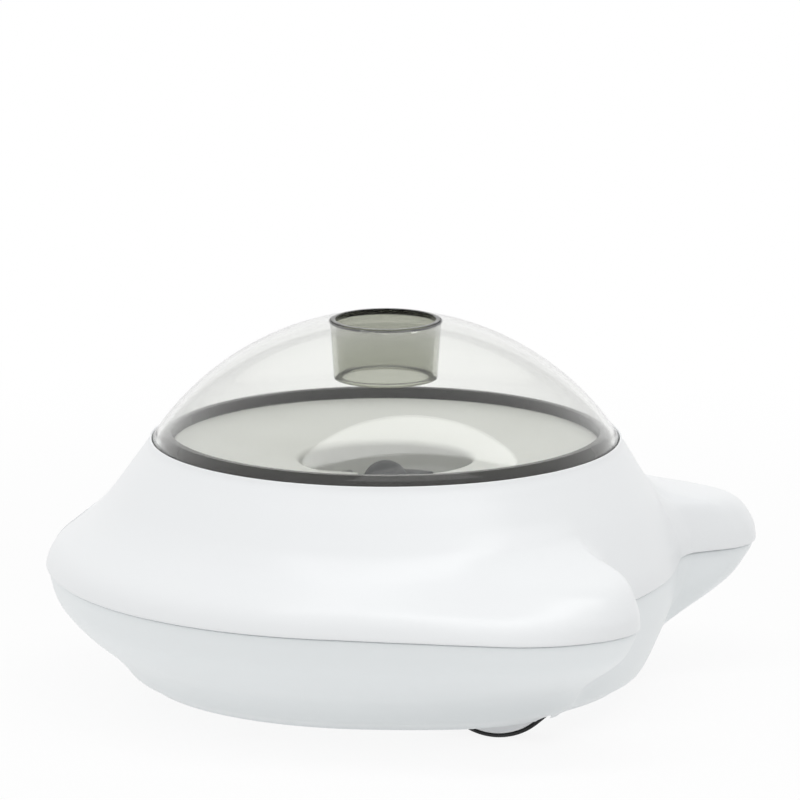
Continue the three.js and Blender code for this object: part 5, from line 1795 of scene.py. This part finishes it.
@dataclass
class Studio:
    """The camera, the lamps, the white surroundings and the floor."""

    azimuth: float = 107.2
    elevation: float = 12.7
    distance: float = 4.3
    target_z: float = 50 * MM
    aim_right: float = 5.16 * MM
    aim_up: float = 57.18 * MM
    lens: float = 536.9
    sensor: float = 36.0
    far: float = 50.0
    strips: tuple[Strip, ...] = (Strip("key_strip", (0.17, 0.289, 1.14), (0.36, 1.8), radiance=2.4),
                                 Strip("side_strip", (0.62, 0.5, 1.14), (0.4, 1.45), radiance=0.55))
    fill: float = 0.7
    fill_tilt: float = 0.17
    floor_size: float = 4.0
    floor_grey: float = 0.88
    floor_glow: float = 0.89
    floor_lift: float = 0.3
    glow_reach: Point = (0.22, 0.6)

    def build(self) -> None:
        """Sets up everything that isn't part of the launcher."""
        self.place_camera()
        self.light_world()
        for strip in self.strips:
            strip.hang()
        self.lay_floor()
        bpy.context.scene.view_settings.view_transform = "Standard"

    def place_camera(self) -> None:
        """Puts the camera at the photograph's viewpoint."""
        a, e = math.radians(self.azimuth), math.radians(self.elevation)
        back = Vector((math.sin(a) * math.cos(e), -math.cos(a) * math.cos(e), math.sin(e)))
        right = Vector((math.cos(a), math.sin(a), 0.0))
        up = back.cross(right)
        target = Vector((0.0, AXIS.y, self.target_z))
        spot = target + back * self.distance
        aim = target + right * self.aim_right + up * self.aim_up
        bpy.ops.object.camera_add(location=spot, rotation=(spot - aim).to_track_quat("Z", "Y").to_euler())
        camera = bpy.context.object
        camera.data.lens = self.lens
        camera.data.sensor_width = self.sensor
        camera.data.clip_end = self.far
        bpy.context.scene.camera = camera

    def seen_directly(self, nodes: Nodes) -> Socket:
        """Gives 1 for rays that the camera, a mirror or glass sends, and 0 for others."""
        path = nodes.add("LightPath").outputs
        mirrored_or_clear = nodes.maths("MAXIMUM", path["Is Glossy Ray"], path["Is Transmission Ray"])
        return nodes.maths("MAXIMUM", path["Is Camera Ray"], mirrored_or_clear)

    def light_world(self) -> None:
        """Makes the world white where it is seen, and elsewhere a fill that fades towards the rear."""
        world = bpy.data.worlds.new("studio")
        world.use_nodes = True
        bpy.context.scene.world = world
        nodes = Nodes(world.node_tree)
        direction = nodes.add("SeparateXYZ")
        nodes.join(nodes.add("TexCoord").outputs["Generated"], direction.inputs[0])
        fade = nodes.maths("MULTIPLY", direction.outputs["Y"], self.fill_tilt)
        fill = nodes.maths("SUBTRACT", self.fill, fade)
        strength = nodes.maths("MAXIMUM", self.seen_directly(nodes), fill)
        nodes.feed(world.node_tree.nodes["Background"], Color=WHITE, Strength=strength)

    def lay_floor(self) -> None:
        """Lays a pale floor that keeps the shadow and turns plain white further out."""
        deselect_all()
        bpy.ops.mesh.primitive_plane_add(size=self.floor_size, location=(0.0, 0.0, 0.0))
        floor = finish_mesh(bpy.context.object, "studio_floor")
        material = bpy.data.materials.new("floor_white")
        material.use_nodes = True
        nodes = Nodes(material.node_tree)
        material.node_tree.nodes.remove(material.node_tree.nodes["Principled BSDF"])
        reach = nodes.add("VectorMath", operation="LENGTH")
        nodes.join(nodes.add("TexCoord").outputs["Object"], reach.inputs[0])
        share = nodes.ramp(reach.outputs["Value"], *self.glow_reach, self.floor_glow, 1.0)
        seen = nodes.maths("MULTIPLY", self.seen_directly(nodes), share)
        glow = nodes.maths("MAXIMUM", seen, self.floor_lift)
        matt = nodes.feed(nodes.add("BsdfDiffuse"), Color=(*[self.floor_grey] * 3, 1.0))
        light = nodes.feed(nodes.add("Emission"), Color=WHITE, Strength=1.0)
        surface = material.node_tree.nodes["Material Output"].inputs["Surface"]
        nodes.join(nodes.mixed(glow, matt.outputs[0], light.outputs[0]), surface)
        floor.data.materials.append(material)


def clear_start_scene() -> None:
    """Deletes what the start-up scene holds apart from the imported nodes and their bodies."""
    kept = {*frame["nodes"].values(), *frame["bodies"].values()}
    for obj in [obj for obj in bpy.data.objects if obj not in kept]:
        bpy.data.objects.remove(obj, do_unlink=True)


def main() -> None:
    """Builds the launcher's assemblies in order, then the studio."""
    logging.basicConfig(level=logging.INFO, format="%(name)s: %(message)s")
    clear_start_scene()
    log.info("%d packed nodes dressed", WARDROBE.dress_frame())
    surface = CasingSurface()
    posts, key = Posts(surface), KeyPlace(surface)
    for assembly in (Casing(surface, posts, key), Dome(), Hopper(), DriveWheel(), Caster(), Outlet(surface),
                     Fittings(posts, key), Studio()):
        assembly.build()


if __name__ == "__main__":
    main()
